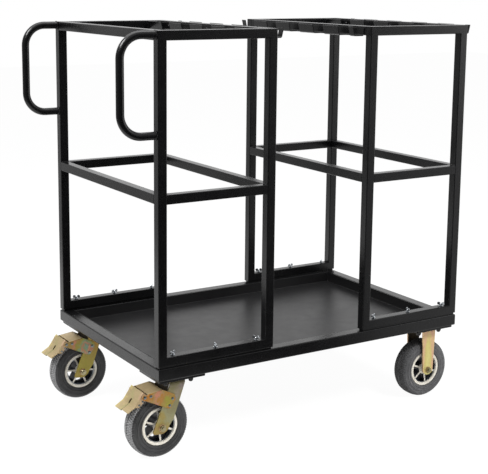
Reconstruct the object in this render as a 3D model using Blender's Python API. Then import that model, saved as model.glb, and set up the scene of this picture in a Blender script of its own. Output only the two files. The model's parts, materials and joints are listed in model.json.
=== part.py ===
"""Combo stand cart: a tray base on four casters, two open racks with comb strips, and two push handles.

Metres, +Z up. The origin is on the ground, under the middle of the cart's outer box. +X runs along the cart
from the handle end to the rigid casters, and +Y from its front side to its back side.
"""

import math

import bpy
import bmesh
from mathutils import Matrix

MM = 0.001

# Clearances
SEAT_GAP = 0.3 * MM
RUNNING_GAP = 0.5 * MM
JOIN_DEPTH = 0.6 * MM

# Base frame and tray
BASE_LENGTH = 1200 * MM
BASE_WIDTH = 755 * MM
BASE_TUBE = 40 * MM
BASE_CORNER = 3 * MM
TRAY_SHEET = 2 * MM
TRAY_RIM_DROP = 1.2 * MM

# Racks
RACK_LENGTH = 418 * MM
RACK_TUBE = 30 * MM
RACK_CORNER = 2.5 * MM
RACK_HEIGHT = 1022 * MM
MID_RAIL_TOP = 535 * MM
FOOT_STRIP = 5 * MM
FOOT_STRIP_INSET = 2.5 * MM

# Comb strips: a bent channel whose outer flange leans away from the rail
COMB_SHEET = 2.5 * MM
COMB_FLOOR_DROP = 2.2 * MM
COMB_FLOOR_REACH = 40 * MM
COMB_TOP_REACH = 48 * MM
COMB_BACK_TOP = 6 * MM
COMB_BEND = 4 * MM
COMB_SLOT_ROOT = 4 * MM
COMB_PITCH = 143.2 * MM
COMB_SLOT = 58.7 * MM
COMB_END_MARGIN = 37.8 * MM
COMB_SLOT_COUNT = 5

# Push handles
HANDLE_TUBE = 25 * MM
HANDLE_HEIGHT = 296 * MM
HANDLE_REACH = 116 * MM
HANDLE_BEND = 48 * MM
WELD_WIDTH = 3.5 * MM
WELD_RISE = 2 * MM
WELD_CREST = 1.6 * MM
HANDLE_SIDES = 12
HANDLE_BEND_STEPS = 5

# Wing bolts
WING_BOLTS_PER_SILL = 3
WING_BOLT_MARGIN = 57 * MM
WING_BOLT_SHANK = 6 * MM
WING_BOLT_GRIP = 16 * MM
WING_SPAN = 26 * MM
WING_HEIGHT = 14 * MM
WING_THICKNESS = 2.6 * MM
WING_EAR_RADIUS = 4.5 * MM
WING_TURNS = {"front": (25, 75, 125), "back": (-20, 15, 50)}
WASHER_DIAMETER = 14 * MM
WASHER_THICKNESS = 1.4 * MM
WING_BOSS_DIAMETER = 10 * MM
WING_BOSS_TAPER = 1 * MM

# Wheels
TYRE_RADIUS = 104.4 * MM
TYRE_WIDTH = 65 * MM
TYRE_SEGMENTS = 24
TREAD_DEPTH = 1.8 * MM
TYRE_BEAD_STEP = 1 * MM
TYRE_SIDEWALL = ((8.5 * MM, 1.6 * MM), (20.4 * MM, 0), (32.2 * MM, 2.6 * MM))
TYRE_SHOULDER_DROP = 2.7 * MM
TYRE_SHOULDER_INSET = 10.4 * MM
TYRE_CROWN_WIDTH = 19.5 * MM
RIM_RADIUS = 62 * MM
RIM_WIDTH = 55.6 * MM
RIM_FLANGE = 3.6 * MM
RIM_SEAT_RADIUS = 56 * MM
RIM_WALL = 5 * MM
RIM_LIP_TAPER = 2 * MM
WINDOW_MARGIN = 2 * MM
SPOKE_COUNT = 6
SPOKE_WIDTH = 6 * MM
SPOKE_DEPTH = 26 * MM
HUB_RADIUS = 21 * MM
HUB_LENGTH = 60 * MM
HUB_NOSE_RADIUS = 14 * MM
HUB_SEGMENTS = 18
HUB_PHASES = {"front_left": -42, "back_left": 0, "front_right": -40, "back_right": -20}

# Fork, bracket and axle
FORK_SHEET = 5 * MM
FORK_SIDE_GAP = 6 * MM
FORK_BEND = 10 * MM
TYRE_HEADROOM = 34.8 * MM
AXLE_TRAIL = 57 * MM
AXLE_DIAMETER = 12 * MM
AXLE_NUT_WIDTH = 19 * MM
AXLE_NUT_HEIGHT = 8 * MM
AXLE_END_SHOWN = 3 * MM
FORK_CROWN_FRONT = 26.5 * MM
FORK_CROWN_REAR = 26 * MM
FORK_END_FRONT = 32 * MM
FORK_END_REAR = 27.5 * MM
FORK_END_DROP = 19.5 * MM
FORK_HEEL_DROP = 12 * MM
FORK_HEEL_CUT = 5 * MM
FORK_TOE_RADIUS = 32 * MM
FORK_TOE_CENTRE = -5 * MM
FORK_TOE_RISE = 24 * MM
BRACKET_TOP_WIDTH = 57 * MM
BRACKET_END_WIDTH = 46 * MM
BRACKET_END_DROP = 18 * MM
BRACKET_SHOULDER = 20 * MM
TOP_PLATE_LENGTH = 116 * MM
TOP_PLATE_WIDTH = 104 * MM
TOP_PLATE_SHEET = 5 * MM
RACE_HEIGHT = 5.9 * MM
RACE_RADIUS = 37 * MM
KING_PIN_DIAMETER = 16 * MM
KING_PIN_HEAD_DIAMETER = 26 * MM
KING_PIN_HEAD_HEIGHT = 6 * MM

# Mount plates under the base
MOUNT_PLATE_LENGTH = 164 * MM
MOUNT_PLATE_WIDTH = 140 * MM
MOUNT_PLATE_SHEET = 8 * MM
MOUNT_PLATE_INSET = 6 * MM
MOUNT_PLATE_CORNER = 6 * MM
STUD_SPACING_X = 92 * MM
STUD_SPACING_Y = 80 * MM
STUD_DIAMETER = 10 * MM
CAP_NUT_DIAMETER = 16 * MM
CAP_NUT_LENGTH = 17 * MM
SWIVEL_INSET = 88 * MM
CASTER_INSET_Y = 78.6 * MM

# Brake
HOUSING_SHEET = 2.5 * MM
PEDAL_SHEET = 2.5 * MM
PEDAL_SIDE_GAP = 2.5 * MM
PEDAL_PIN_DIAMETER = 6 * MM
PEDAL_PIN_HEAD = 11 * MM
PEDAL_PIN_HEAD_HEIGHT = 2 * MM
PEDAL_PIVOT_ANGLE = 119
PEDAL_PIVOT_CLEARANCE = 23.3 * MM
PEDAL_FACE_ANGLE = 55
PEDAL_FACE_TOP = 11 * MM
PEDAL_FACE_LOW = 41.4 * MM
PEDAL_FACE_OFFSET = 9.1 * MM
PEDAL_FLANGE_ANGLE = 31
PEDAL_FLANGE_LENGTH = 28.5 * MM
PEDAL_TONGUE_LENGTH = 32 * MM
PEDAL_CHEEK_MARGIN = 1 * MM
PEDAL_CHEEK_STEP = 0.2 * MM
PEDAL_CHEEK_RISE = 6 * MM
PEDAL_CHEEK_DEPTH = 3 * MM
PEDAL_CHEEK_FRONT = ((8 * MM, 6 * MM), (7 * MM, -8 * MM))
PEDAL_SLOT_WIDTH = 4 * MM
PEDAL_SLOT_LENGTH = 15.5 * MM
PEDAL_SLIT_WIDTH = 1.2 * MM
SHOE_DIAMETER = 11 * MM
SHOE_DROP = 22.9 * MM
SHOE_OFFSET = -1.5 * MM
HOUSING_NOSE = 9 * MM
HOUSING_ROOF_REAR = (12 * MM, 8.4 * MM)
HOUSING_ROOF_FRONT = (62 * MM, 14.3 * MM)
HOUSING_BROW = ((-20 * MM, 27 * MM), (7 * MM, 12.5 * MM), (11 * MM, -3 * MM))
HOUSING_CHIN = ((3 * MM, -8.5 * MM), (-6 * MM, -8.5 * MM))
UPPER_RIVET = (35.1 * MM, 91.4 * MM)
LOWER_RIVET = (25 * MM, 70.2 * MM)
RIVET_DIAMETER = 6 * MM
RIVET_HEAD_DIAMETER = 10 * MM
RIVET_HEAD_HEIGHT = 2 * MM

# Heights above the ground, from the tyre up
AXLE_HEIGHT = TYRE_RADIUS * math.cos(math.pi / TYRE_SEGMENTS)
CROWN_UNDERSIDE = AXLE_HEIGHT + TYRE_RADIUS + TYRE_HEADROOM
CROWN_TOP = CROWN_UNDERSIDE + FORK_SHEET
RACE_BOTTOM = CROWN_TOP + RUNNING_GAP
TOP_PLATE_BOTTOM = RACE_BOTTOM + RACE_HEIGHT
TOP_PLATE_TOP = TOP_PLATE_BOTTOM + TOP_PLATE_SHEET
MOUNT_PLATE_BOTTOM = TOP_PLATE_TOP + SEAT_GAP
MOUNT_PLATE_TOP = MOUNT_PLATE_BOTTOM + MOUNT_PLATE_SHEET
BASE_BOTTOM = MOUNT_PLATE_TOP + SEAT_GAP
BASE_TOP = BASE_BOTTOM + BASE_TUBE
RACK_BOTTOM = BASE_TOP + SEAT_GAP
RACK_TOP = RACK_BOTTOM + FOOT_STRIP + RACK_HEIGHT
SILL_TOP = RACK_BOTTOM + FOOT_STRIP + RACK_TUBE

# Places along the cart
LENGTH_LEFT = HANDLE_REACH + HANDLE_TUBE / 2
LENGTH_RIGHT = BASE_LENGTH + COMB_TOP_REACH
END_X = -(LENGTH_LEFT + LENGTH_RIGHT) / 2 + LENGTH_LEFT
FAR_X = END_X + BASE_LENGTH
FRONT_Y = -BASE_WIDTH / 2
BACK_Y = BASE_WIDTH / 2
SWIVEL_X = END_X + SWIVEL_INSET
RIGID_X = FAR_X - MOUNT_PLATE_INSET - MOUNT_PLATE_LENGTH / 2
CASTER_Y = BACK_Y - CASTER_INSET_Y

# Widths across a wheel, each from its middle plane
FORK_INNER = TYRE_WIDTH / 2 + FORK_SIDE_GAP
FORK_OUTER = FORK_INNER + FORK_SHEET
HOUSING_INNER = FORK_OUTER + SEAT_GAP
HOUSING_OUTER = HOUSING_INNER + HOUSING_SHEET
PEDAL_HALF_WIDTH = HOUSING_INNER - PEDAL_SIDE_GAP

FAR = 1.0

# Finishes: base colour (linear), roughness, metallic
FINISHES = {
    "black_paint": ((0.012, 0.012, 0.013), 0.42, 0.0),
    "tray_paint": ((0.030, 0.030, 0.032), 0.5, 0.0),
    "yellow_zinc": ((0.62, 0.50, 0.25), 0.32, 1.0),
    "bright_zinc": ((0.72, 0.72, 0.70), 0.3, 1.0),
    "cast_aluminium": ((0.72, 0.70, 0.64), 0.45, 1.0),
    "rubber": ((0.035, 0.035, 0.036), 0.8, 0.0),
}


def clear_scene():
    for item in list(bpy.data.objects):
        bpy.data.objects.remove(item, do_unlink=True)


def arc(centre, radius, start, end, steps):
    """Points on an arc, both ends included; the angles are in degrees."""
    angles = [math.radians(start + (end - start) * i / steps) for i in range(steps + 1)]
    return [(centre[0] + radius * math.cos(a), centre[1] + radius * math.sin(a)) for a in angles]


def mesh_of(bm, sharp_angle=35):
    """Close a bmesh into a mesh with its faces pointing out, smooth but for its edges."""
    bmesh.ops.recalc_face_normals(bm, faces=bm.faces)
    mesh = bpy.data.meshes.new("shape")
    bm.to_mesh(mesh)
    bm.free()
    mesh.shade_smooth()
    mesh.set_sharp_from_angle(angle=math.radians(sharp_angle))
    return mesh


def bridge(bm, ring, following):
    """Join two rings of as many points with quads."""
    count = len(ring)
    for i in range(count):
        j = (i + 1) % count
        bm.faces.new((ring[i], ring[j], following[j], following[i]))


def axis_point(axis, first, second, along):
    """A point of an outline drawn square to an axis: (y, z) for X, (x, z) for Y, (x, y) for Z."""
    if axis == "X":
        return (along, first, second)
    if axis == "Y":
        return (first, along, second)
    return (first, second, along)


def prism(outline, axis, low, high):
    """A closed outline extruded along an axis."""
    bm = bmesh.new()
    near = [bm.verts.new(axis_point(axis, a, b, low)) for a, b in outline]
    far = [bm.verts.new(axis_point(axis, a, b, high)) for a, b in outline]
    bridge(bm, near, far)
    bm.faces.new(near)
    bm.faces.new(far)
    return mesh_of(bm)


def rectangle(low_a, high_a, low_b, high_b):
    return [(low_a, low_b), (high_a, low_b), (high_a, high_b), (low_a, high_b)]


def rounded_rectangle(low_a, high_a, low_b, high_b, radius, steps=1):
    outline = []
    outline += arc((high_a - radius, high_b - radius), radius, 0, 90, steps)
    outline += arc((low_a + radius, high_b - radius), radius, 90, 180, steps)
    outline += arc((low_a + radius, low_b + radius), radius, 180, 270, steps)
    outline += arc((high_a - radius, low_b + radius), radius, 270, 360, steps)
    return outline


def rod(axis, centre, diameter, low, high, sides=8):
    """A round bar along an axis; centre is given in the plane square to it."""
    outline = arc(centre, diameter / 2, 0, 360 - 360 / sides, sides - 1)
    return prism(outline, axis, low, high)


def drill(axis, centre, pin, clearance, low, high, sides=8):
    """A cutter for the hole of a round pin, whose flats stay clear of the pin."""
    diameter = (pin + 2 * clearance) / math.cos(math.pi / sides)
    return rod(axis, centre, diameter, low, high, sides)


def turned(outline, axis, segments, closed=False):
    """A shape turned about an axis from (radius, along) points; a closed outline makes a ring."""
    bm = bmesh.new()
    rings = []
    for i in range(segments):
        angle = 2 * math.pi * i / segments
        c = math.cos(angle)
        s = math.sin(angle)
        rings.append([bm.verts.new(axis_point(axis, r * c, r * s, a)) for r, a in outline])
    for ring, following in zip(rings, rings[1:] + rings[:1]):
        steps = len(ring) if closed else len(ring) - 1
        for i in range(steps):
            j = (i + 1) % len(ring)
            bm.faces.new((ring[i], ring[j], following[j], following[i]))
    if not closed:
        bm.faces.new([ring[0] for ring in rings])
        bm.faces.new([ring[-1] for ring in rings])
    return mesh_of(bm)


def combine(base, tool, operation):
    """The mesh of one shape joined with, cut by or kept within another."""
    target = bpy.data.objects.new("target", base)
    cutter = bpy.data.objects.new("cutter", tool)
    for item in (target, cutter):
        bpy.context.scene.collection.objects.link(item)
    modifier = target.modifiers.new("combine", "BOOLEAN")
    modifier.operation = operation
    modifier.solver = "EXACT"
    modifier.object = cutter
    shaped = target.evaluated_get(bpy.context.evaluated_depsgraph_get())
    bm = bmesh.new()
    bm.from_mesh(shaped.to_mesh())
    shaped.to_mesh_clear()
    for item in (target, cutter):
        bpy.data.objects.remove(item, do_unlink=True)
    bmesh.ops.dissolve_degenerate(bm, dist=0.00001, edges=bm.edges)
    return mesh_of(bm)


def join(base, *tools):
    for tool in tools:
        base = combine(base, tool, "UNION")
    return base


def cut(base, *tools):
    for tool in tools:
        base = combine(base, tool, "DIFFERENCE")
    return base


def moved(mesh, x, y, z):
    """A mesh shifted so that its object's origin can lie on a joint axis."""
    mesh.transform(Matrix.Translation((x, y, z)))
    return mesh


def place(name, mesh, finish, location=(0, 0, 0), rotation=(0, 0, 0), parent=None):
    """One named sub-part with its own material."""
    item = bpy.data.objects.new(name, mesh)
    bpy.context.scene.collection.objects.link(item)
    item.location = location
    item.rotation_euler = [math.radians(angle) for angle in rotation]
    item.parent = parent
    if not mesh.materials:
        mesh.materials.append(None)
    colour, roughness, metallic = FINISHES[finish]
    material = bpy.data.materials.new(name)
    material.use_nodes = True
    shader = material.node_tree.nodes["Principled BSDF"]
    shader.inputs["Base Color"].default_value = (*colour, 1)
    shader.inputs["Roughness"].default_value = roughness
    shader.inputs["Metallic"].default_value = metallic
    item.material_slots[0].link = "OBJECT"
    item.material_slots[0].material = material
    return item


def pivot(name, location):
    """An empty on a joint's axis, which carries the pieces that turn about it."""
    item = bpy.data.objects.new(name, None)
    bpy.context.scene.collection.objects.link(item)
    item.location = location
    return item


def mitred_frame(length, height, tube, corner):
    """Four tubes mitred to an upright rectangle in the XZ plane, centred on the origin."""
    section = rounded_rectangle(0, tube, -tube / 2, tube / 2, corner)
    bm = bmesh.new()
    rings = []
    for side_x, side_z in ((-1, -1), (1, -1), (1, 1), (-1, 1)):
        corner_x = side_x * length / 2
        corner_z = side_z * height / 2
        rings.append([bm.verts.new((corner_x - side_x * s, t, corner_z - side_z * s)) for s, t in section])
    for ring, following in zip(rings, rings[1:] + rings[:1]):
        bridge(bm, ring, following)
    return mesh_of(bm)


def wing_bolt_offsets():
    """Places of the wing bolts along a sill, from the middle of the rack."""
    span = RACK_LENGTH - 2 * WING_BOLT_MARGIN
    step = span / (WING_BOLTS_PER_SILL - 1)
    return [-span / 2 + step * i for i in range(WING_BOLTS_PER_SILL)]


# Base

def build_base():
    frame = mitred_frame(BASE_LENGTH, BASE_WIDTH, BASE_TUBE, BASE_CORNER)
    middle_x = (END_X + FAR_X) / 2
    middle_z = (BASE_BOTTOM + BASE_TOP) / 2
    place("base_frame", frame, "black_paint", (middle_x, 0, middle_z), (90, 0, 0))

    half_x = BASE_LENGTH / 2 - BASE_TUBE - SEAT_GAP
    half_y = BASE_WIDTH / 2 - BASE_TUBE - SEAT_GAP
    depth = BASE_TUBE - TRAY_RIM_DROP
    outer = prism(rectangle(-half_x, half_x, -half_y, half_y), "Z", 0, depth)
    half_x -= TRAY_SHEET
    half_y -= TRAY_SHEET
    inner = prism(rectangle(-half_x, half_x, -half_y, half_y), "Z", TRAY_SHEET, FAR)
    place("tray_pan", cut(outer, inner), "tray_paint", (middle_x, 0, BASE_BOTTOM))


def build_mount_plate(name, centre_x, centre_y, outward_x, outward_y):
    """A plate under a corner of the base with the four studs and cap nuts that hold the caster."""
    corner_x = END_X if outward_x < 0 else FAR_X
    corner_y = FRONT_Y if outward_y < 0 else BACK_Y
    edge_x = corner_x - outward_x * MOUNT_PLATE_INSET
    edge_y = corner_y - outward_y * MOUNT_PLATE_INSET
    inner_x = edge_x - outward_x * MOUNT_PLATE_LENGTH
    inner_y = edge_y - outward_y * MOUNT_PLATE_WIDTH
    low_x, high_x = sorted((edge_x - centre_x, inner_x - centre_x))
    low_y, high_y = sorted((edge_y - centre_y, inner_y - centre_y))
    outline = rounded_rectangle(low_x, high_x, low_y, high_y, MOUNT_PLATE_CORNER)
    plate = prism(outline, "Z", MOUNT_PLATE_BOTTOM, MOUNT_PLATE_TOP)
    cap_top = TOP_PLATE_BOTTOM - SEAT_GAP
    cap_bottom = cap_top - CAP_NUT_LENGTH
    stud_outline = [
        (STUD_DIAMETER / 2, MOUNT_PLATE_BOTTOM + JOIN_DEPTH),
        (STUD_DIAMETER / 2, cap_top),
        (CAP_NUT_DIAMETER / 2, cap_top),
        (CAP_NUT_DIAMETER / 2, cap_bottom),
    ]
    for x in (-STUD_SPACING_X / 2, STUD_SPACING_X / 2):
        for y in (-STUD_SPACING_Y / 2, STUD_SPACING_Y / 2):
            plate = join(plate, moved(turned(stud_outline, "Z", 6), x, y, 0))
    place(name, plate, "black_paint", (centre_x, centre_y, 0))


# Racks

def rack_frame_mesh():
    """Posts, top rail, middle rail, sill and foot strip of one side; its foot is at the origin."""
    frame = mitred_frame(RACK_LENGTH, RACK_HEIGHT, RACK_TUBE, RACK_CORNER)
    moved(frame, 0, 0, FOOT_STRIP + RACK_HEIGHT / 2)
    reach = RACK_LENGTH / 2 - RACK_TUBE + JOIN_DEPTH
    half = RACK_TUBE / 2
    rail_top = FOOT_STRIP + MID_RAIL_TOP
    section = rounded_rectangle(-half, half, rail_top - RACK_TUBE, rail_top, RACK_CORNER)
    middle_rail = prism(section, "X", -reach, reach)
    half_x = RACK_LENGTH / 2 - FOOT_STRIP_INSET
    half_y = half - FOOT_STRIP_INSET
    foot = prism(rectangle(-half_x, half_x, -half_y, half_y), "Z", 0, FOOT_STRIP + JOIN_DEPTH)
    frame = join(frame, middle_rail, foot)
    sill_top = FOOT_STRIP + RACK_TUBE
    hole_bottom = sill_top - WING_BOLT_GRIP - RUNNING_GAP
    for x in wing_bolt_offsets():
        frame = cut(frame, drill("Z", (x, 0), WING_BOLT_SHANK, SEAT_GAP, hole_bottom, sill_top + FOOT_STRIP, 6))
    return frame


def side_rail_mesh():
    """A rail from the front frame to the back frame; its top face is at the origin's height."""
    half = RACK_TUBE / 2
    reach = BASE_WIDTH / 2 - RACK_TUBE - SEAT_GAP
    section = rounded_rectangle(-half, half, -RACK_TUBE, 0, RACK_CORNER)
    return prism(section, "Y", -reach, reach)


def build_rack(side, centre_x, frame, rail):
    """One rack; side is left or right, and its outer rails are at the cart's end."""
    frame_y = BASE_WIDTH / 2 - RACK_TUBE / 2
    place(f"rack_{side}_front_frame", frame, "black_paint", (centre_x, -frame_y, RACK_BOTTOM))
    place(f"rack_{side}_back_frame", frame, "black_paint", (centre_x, frame_y, RACK_BOTTOM))
    outward = -1 if side == "left" else 1
    rail_x = RACK_LENGTH / 2 - RACK_TUBE / 2
    middle_z = RACK_BOTTOM + FOOT_STRIP + MID_RAIL_TOP
    for label, direction in (("outer", outward), ("inner", -outward)):
        x = centre_x + direction * rail_x
        place(f"rack_{side}_{label}_top_rail", rail, "black_paint", (x, 0, RACK_TOP))
        place(f"rack_{side}_{label}_middle_rail", rail, "black_paint", (x, 0, middle_z))


# Comb strips

def comb_mesh(slot_count):
    """A bent channel on the +X side of a rail, with slots cut through its outer flange and its floor.

    The origin is on the rail's side face, at the height of the rail's top.
    """
    floor = -RACK_TUBE - COMB_FLOOR_DROP
    floor_top = floor + COMB_SHEET
    lean = math.degrees(math.atan2(COMB_TOP_REACH - COMB_FLOOR_REACH, -floor))
    lean_x = math.sin(math.radians(lean))
    lean_z = math.cos(math.radians(lean))
    bend = COMB_BEND + COMB_SHEET
    back = SEAT_GAP
    tip = (COMB_TOP_REACH, 0)
    corner = (tip[0] + ((floor + bend) * lean_x - bend) / lean_z, floor + bend)
    outline = [(back, -COMB_BACK_TOP)]
    outline += arc((back + bend, floor + bend), bend, 180, 270, 2)
    outline += arc(corner, bend, -90, -lean, 2)
    outline += [tip, (tip[0] - COMB_SHEET * lean_z, COMB_SHEET * lean_x)]
    outline += arc(corner, COMB_BEND, -lean, -90, 2)
    outline += arc((back + bend, floor + bend), COMB_BEND, 270, 180, 2)
    outline += [(back + COMB_SHEET, -COMB_BACK_TOP)]
    reach = BASE_WIDTH / 2 - COMB_END_MARGIN
    strip = prism(outline, "Y", -reach, reach)
    slot_start = back + bend + COMB_BEND
    root = COMB_SLOT_ROOT
    for i in range(slot_count):
        middle = (i - (slot_count - 1) / 2) * COMB_PITCH
        low = middle - COMB_SLOT / 2
        high = middle + COMB_SLOT / 2
        slot = arc((slot_start + root, low + root), root, 270, 180, 1)
        slot += arc((slot_start + root, high - root), root, 180, 90, 1)
        slot += [(COMB_TOP_REACH * 2, high), (COMB_TOP_REACH * 2, low)]
        strip = cut(strip, prism(slot, "Z", floor_top - 2 * COMB_SHEET, 2 * COMB_SHEET))
    return strip


def build_combs(left_x, right_x):
    straight = comb_mesh(COMB_SLOT_COUNT)
    staggered = comb_mesh(COMB_SLOT_COUNT - 1)
    half = RACK_LENGTH / 2
    place("comb_left_rack_gap_side", straight, "black_paint", (left_x + half, 0, RACK_TOP))
    place("comb_left_rack_inside", staggered, "black_paint",
          (left_x + half - RACK_TUBE, 0, RACK_TOP), (0, 0, 180))
    place("comb_right_rack_gap_side", straight, "black_paint", (right_x - half, 0, RACK_TOP), (0, 0, 180))
    place("comb_right_rack_end_side", straight, "black_paint", (right_x + half, 0, RACK_TOP))
    place("comb_right_rack_inside", staggered, "black_paint",
          (right_x + half - RACK_TUBE, 0, RACK_TOP), (0, 0, 180))


# Push handles

def handle_mesh():
    """A round tube bent to a bracket shape, with a weld bead at each end; it meets the post at x = 0."""
    reach = -HANDLE_REACH
    bend = HANDLE_BEND
    bead = [(SEAT_GAP, WELD_RISE), (SEAT_GAP + WELD_WIDTH / 2, WELD_CREST), (SEAT_GAP + WELD_WIDTH, 0)]
    path = [(-run, 0, rise) for run, rise in bead]
    path += [(x, z, 0) for x, z in arc((reach + bend, -bend), bend, 90, 180, HANDLE_BEND_STEPS)]
    low_centre = (reach + bend, bend - HANDLE_HEIGHT)
    path += [(x, z, 0) for x, z in arc(low_centre, bend, 180, 270, HANDLE_BEND_STEPS)]
    path += [(-run, -HANDLE_HEIGHT, rise) for run, rise in reversed(bead)]
    sides = HANDLE_SIDES
    bm = bmesh.new()
    rings = []
    for i, (x, z, rise) in enumerate(path):
        before = path[max(i - 1, 0)]
        after = path[min(i + 1, len(path) - 1)]
        angle = math.atan2(after[1] - before[1], after[0] - before[0])
        radius = HANDLE_TUBE / 2 + rise
        ring = []
        for k in range(sides):
            turn = 2 * math.pi * k / sides
            across = radius * math.cos(turn)
            point = (x - across * math.sin(angle), radius * math.sin(turn), z + across * math.cos(angle))
            ring.append(bm.verts.new(point))
        rings.append(ring)
    for ring, following in zip(rings, rings[1:]):
        bridge(bm, ring, following)
    bm.faces.new(rings[0])
    bm.faces.new(rings[-1])
    return mesh_of(bm)


def build_handles():
    mesh = handle_mesh()
    y = BASE_WIDTH / 2 - RACK_TUBE / 2
    z = RACK_TOP - HANDLE_TUBE / 2
    place("handle_front", mesh, "black_paint", (END_X, -y, z))
    place("handle_back", mesh, "black_paint", (END_X, y, z))


# Wing bolts

def wing_bolt_mesh():
    """Washer, boss and two ears on a shank; the origin is on its axis, at the sill's top."""
    seat = SEAT_GAP
    washer_top = seat + WASHER_THICKNESS
    boss_top = washer_top + WING_HEIGHT / 2
    outline = [
        (WING_BOLT_SHANK / 2, seat - WING_BOLT_GRIP),
        (WING_BOLT_SHANK / 2, seat),
        (WASHER_DIAMETER / 2, seat),
        (WASHER_DIAMETER / 2, washer_top),
        (WING_BOSS_DIAMETER / 2, washer_top),
        (WING_BOSS_DIAMETER / 2 - WING_BOSS_TAPER, boss_top),
    ]
    bolt = turned(outline, "Z", 6)
    ear = WING_EAR_RADIUS
    tip = (WING_SPAN / 2 - ear, washer_top + WING_HEIGHT - ear)
    right = [(0, washer_top + WING_BOSS_TAPER)]
    right += arc(tip, ear, -60, 150, 3)
    right += [(0, boss_top - WING_BOSS_TAPER)]
    left = [(-x, z) for x, z in reversed(right[1:-1])]
    wings = prism(right + left, "Y", -WING_THICKNESS / 2, WING_THICKNESS / 2)
    return join(bolt, wings)


def build_wing_bolts(side, centre_x, mesh):
    y = BASE_WIDTH / 2 - RACK_TUBE / 2
    for row, row_y in (("front", -y), ("back", y)):
        for i, x in enumerate(wing_bolt_offsets()):
            turn = WING_TURNS[row][i % len(WING_TURNS[row])]
            place(f"wing_bolt_{side}_{row}_{i + 1}", mesh, "bright_zinc",
                  (centre_x + x, row_y, SILL_TOP), (0, 0, turn))


# Wheels

def tyre_mesh():
    """A round-shouldered tyre about Y, with blocks across its shoulders; a flat of it faces down."""
    half = TYRE_WIDTH / 2
    bead = RIM_WIDTH / 2 - RIM_FLANGE - SEAT_GAP
    bore = (RIM_SEAT_RADIUS + SEAT_GAP) / math.cos(math.pi / TYRE_SEGMENTS)
    sides = [
        (bore, bead),
        (RIM_RADIUS + TYRE_BEAD_STEP, bead),
        *((RIM_RADIUS + rise, half - inset) for rise, inset in TYRE_SIDEWALL),
        (TYRE_RADIUS - TYRE_SHOULDER_DROP, half - TYRE_SHOULDER_INSET),
        (TYRE_RADIUS, TYRE_CROWN_WIDTH / 2),
    ]
    shoulder = len(sides) - 2
    outline = sides + [(r, -y) for r, y in reversed(sides)]
    shoulders = (shoulder, len(outline) - 1 - shoulder)
    bm = bmesh.new()
    rings = []
    for i in range(TYRE_SEGMENTS):
        angle = 2 * math.pi * (i + 0.5) / TYRE_SEGMENTS - math.pi / 2
        ring = []
        for k, (r, y) in enumerate(outline):
            depth = TREAD_DEPTH * (i % 2) if k in shoulders else 0
            ring.append(bm.verts.new(((r - depth) * math.cos(angle), y, (r - depth) * math.sin(angle))))
        rings.append(ring)
    for ring, following in zip(rings, rings[1:] + rings[:1]):
        bridge(bm, ring, following)
    return mesh_of(bm)


def hub_mesh():
    """A cast wheel about Y: rim with two flanges, six spokes between windows, and a bored hub."""
    face = RIM_WIDTH / 2
    inner = RIM_SEAT_RADIUS - RIM_WALL
    web = SPOKE_DEPTH / 2
    bore = (AXLE_DIAMETER / 2 + RUNNING_GAP) / math.cos(math.pi / HUB_SEGMENTS)
    side = [
        (bore, HUB_LENGTH / 2),
        (HUB_NOSE_RADIUS, HUB_LENGTH / 2),
        (HUB_RADIUS, web),
        (inner, web),
        (inner + RIM_LIP_TAPER, face),
        (RIM_RADIUS, face),
        (RIM_RADIUS, face - RIM_FLANGE),
        (RIM_SEAT_RADIUS, face - RIM_FLANGE),
    ]
    outline = side + [(r, -y) for r, y in reversed(side)]
    wheel = turned(outline, "Y", HUB_SEGMENTS, closed=True)
    window_inner = HUB_RADIUS + WINDOW_MARGIN
    window_outer = inner - WINDOW_MARGIN
    half_step = 180 / SPOKE_COUNT
    trim_outer = math.degrees(math.asin(SPOKE_WIDTH / 2 / window_outer))
    trim_inner = math.degrees(math.asin(SPOKE_WIDTH / 2 / window_inner))
    for i in range(SPOKE_COUNT):
        middle = half_step * (2 * i + 1)
        window = arc((0, 0), window_outer, middle - half_step + trim_outer, middle + half_step - trim_outer, 3)
        window += arc((0, 0), window_inner, middle + half_step - trim_inner, middle - half_step + trim_inner, 1)
        wheel = cut(wheel, prism(window, "Y", -face, face))
    return wheel


def axle_mesh(outer):
    """An axle bolt with its head and nut, which bear on the outer faces of a fork."""
    seat = outer + SEAT_GAP
    end = seat + AXLE_NUT_HEIGHT
    shank = rod("Y", (0, 0), AXLE_DIAMETER, -end - AXLE_END_SHOWN, end - JOIN_DEPTH)
    across_corners = AXLE_NUT_WIDTH / math.cos(math.pi / 6)
    nut = rod("Y", (0, 0), across_corners, -end, -seat, 6)
    head = rod("Y", (0, 0), across_corners, seat, end, 6)
    return join(shank, nut, head)


def build_wheel(corner, x, y, outer, meshes, parent):
    """Axle, hub and tyre at one corner; x and y are counted from the parent."""
    centre = (x, y, AXLE_HEIGHT)
    place(f"axle_{corner}", axle_mesh(outer), "yellow_zinc", centre, parent=parent)
    hub, tyre = meshes
    place(f"hub_{corner}", hub, "cast_aluminium", centre, (0, HUB_PHASES[corner], 0), parent)
    place(f"tyre_{corner}", tyre, "rubber", centre, parent=parent)


# Casters

def bent_strap(low_x, high_x, top, low):
    """A strap bent to an upside-down U over the wheel, extruded along X."""
    inner_bend = FORK_BEND - FORK_SHEET
    outline = [(-FORK_OUTER, low)]
    outline += arc((-FORK_OUTER + FORK_BEND, top - FORK_BEND), FORK_BEND, 180, 90, 2)
    outline += arc((FORK_OUTER - FORK_BEND, top - FORK_BEND), FORK_BEND, 90, 0, 2)
    outline += [(FORK_OUTER, low), (FORK_INNER, low)]
    outline += arc((FORK_OUTER - FORK_BEND, top - FORK_BEND), inner_bend, 0, 90, 2)
    outline += arc((-FORK_OUTER + FORK_BEND, top - FORK_BEND), inner_bend, 90, 180, 2)
    outline += [(-FORK_INNER, low)]
    return prism(outline, "X", low_x, high_x)


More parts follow.
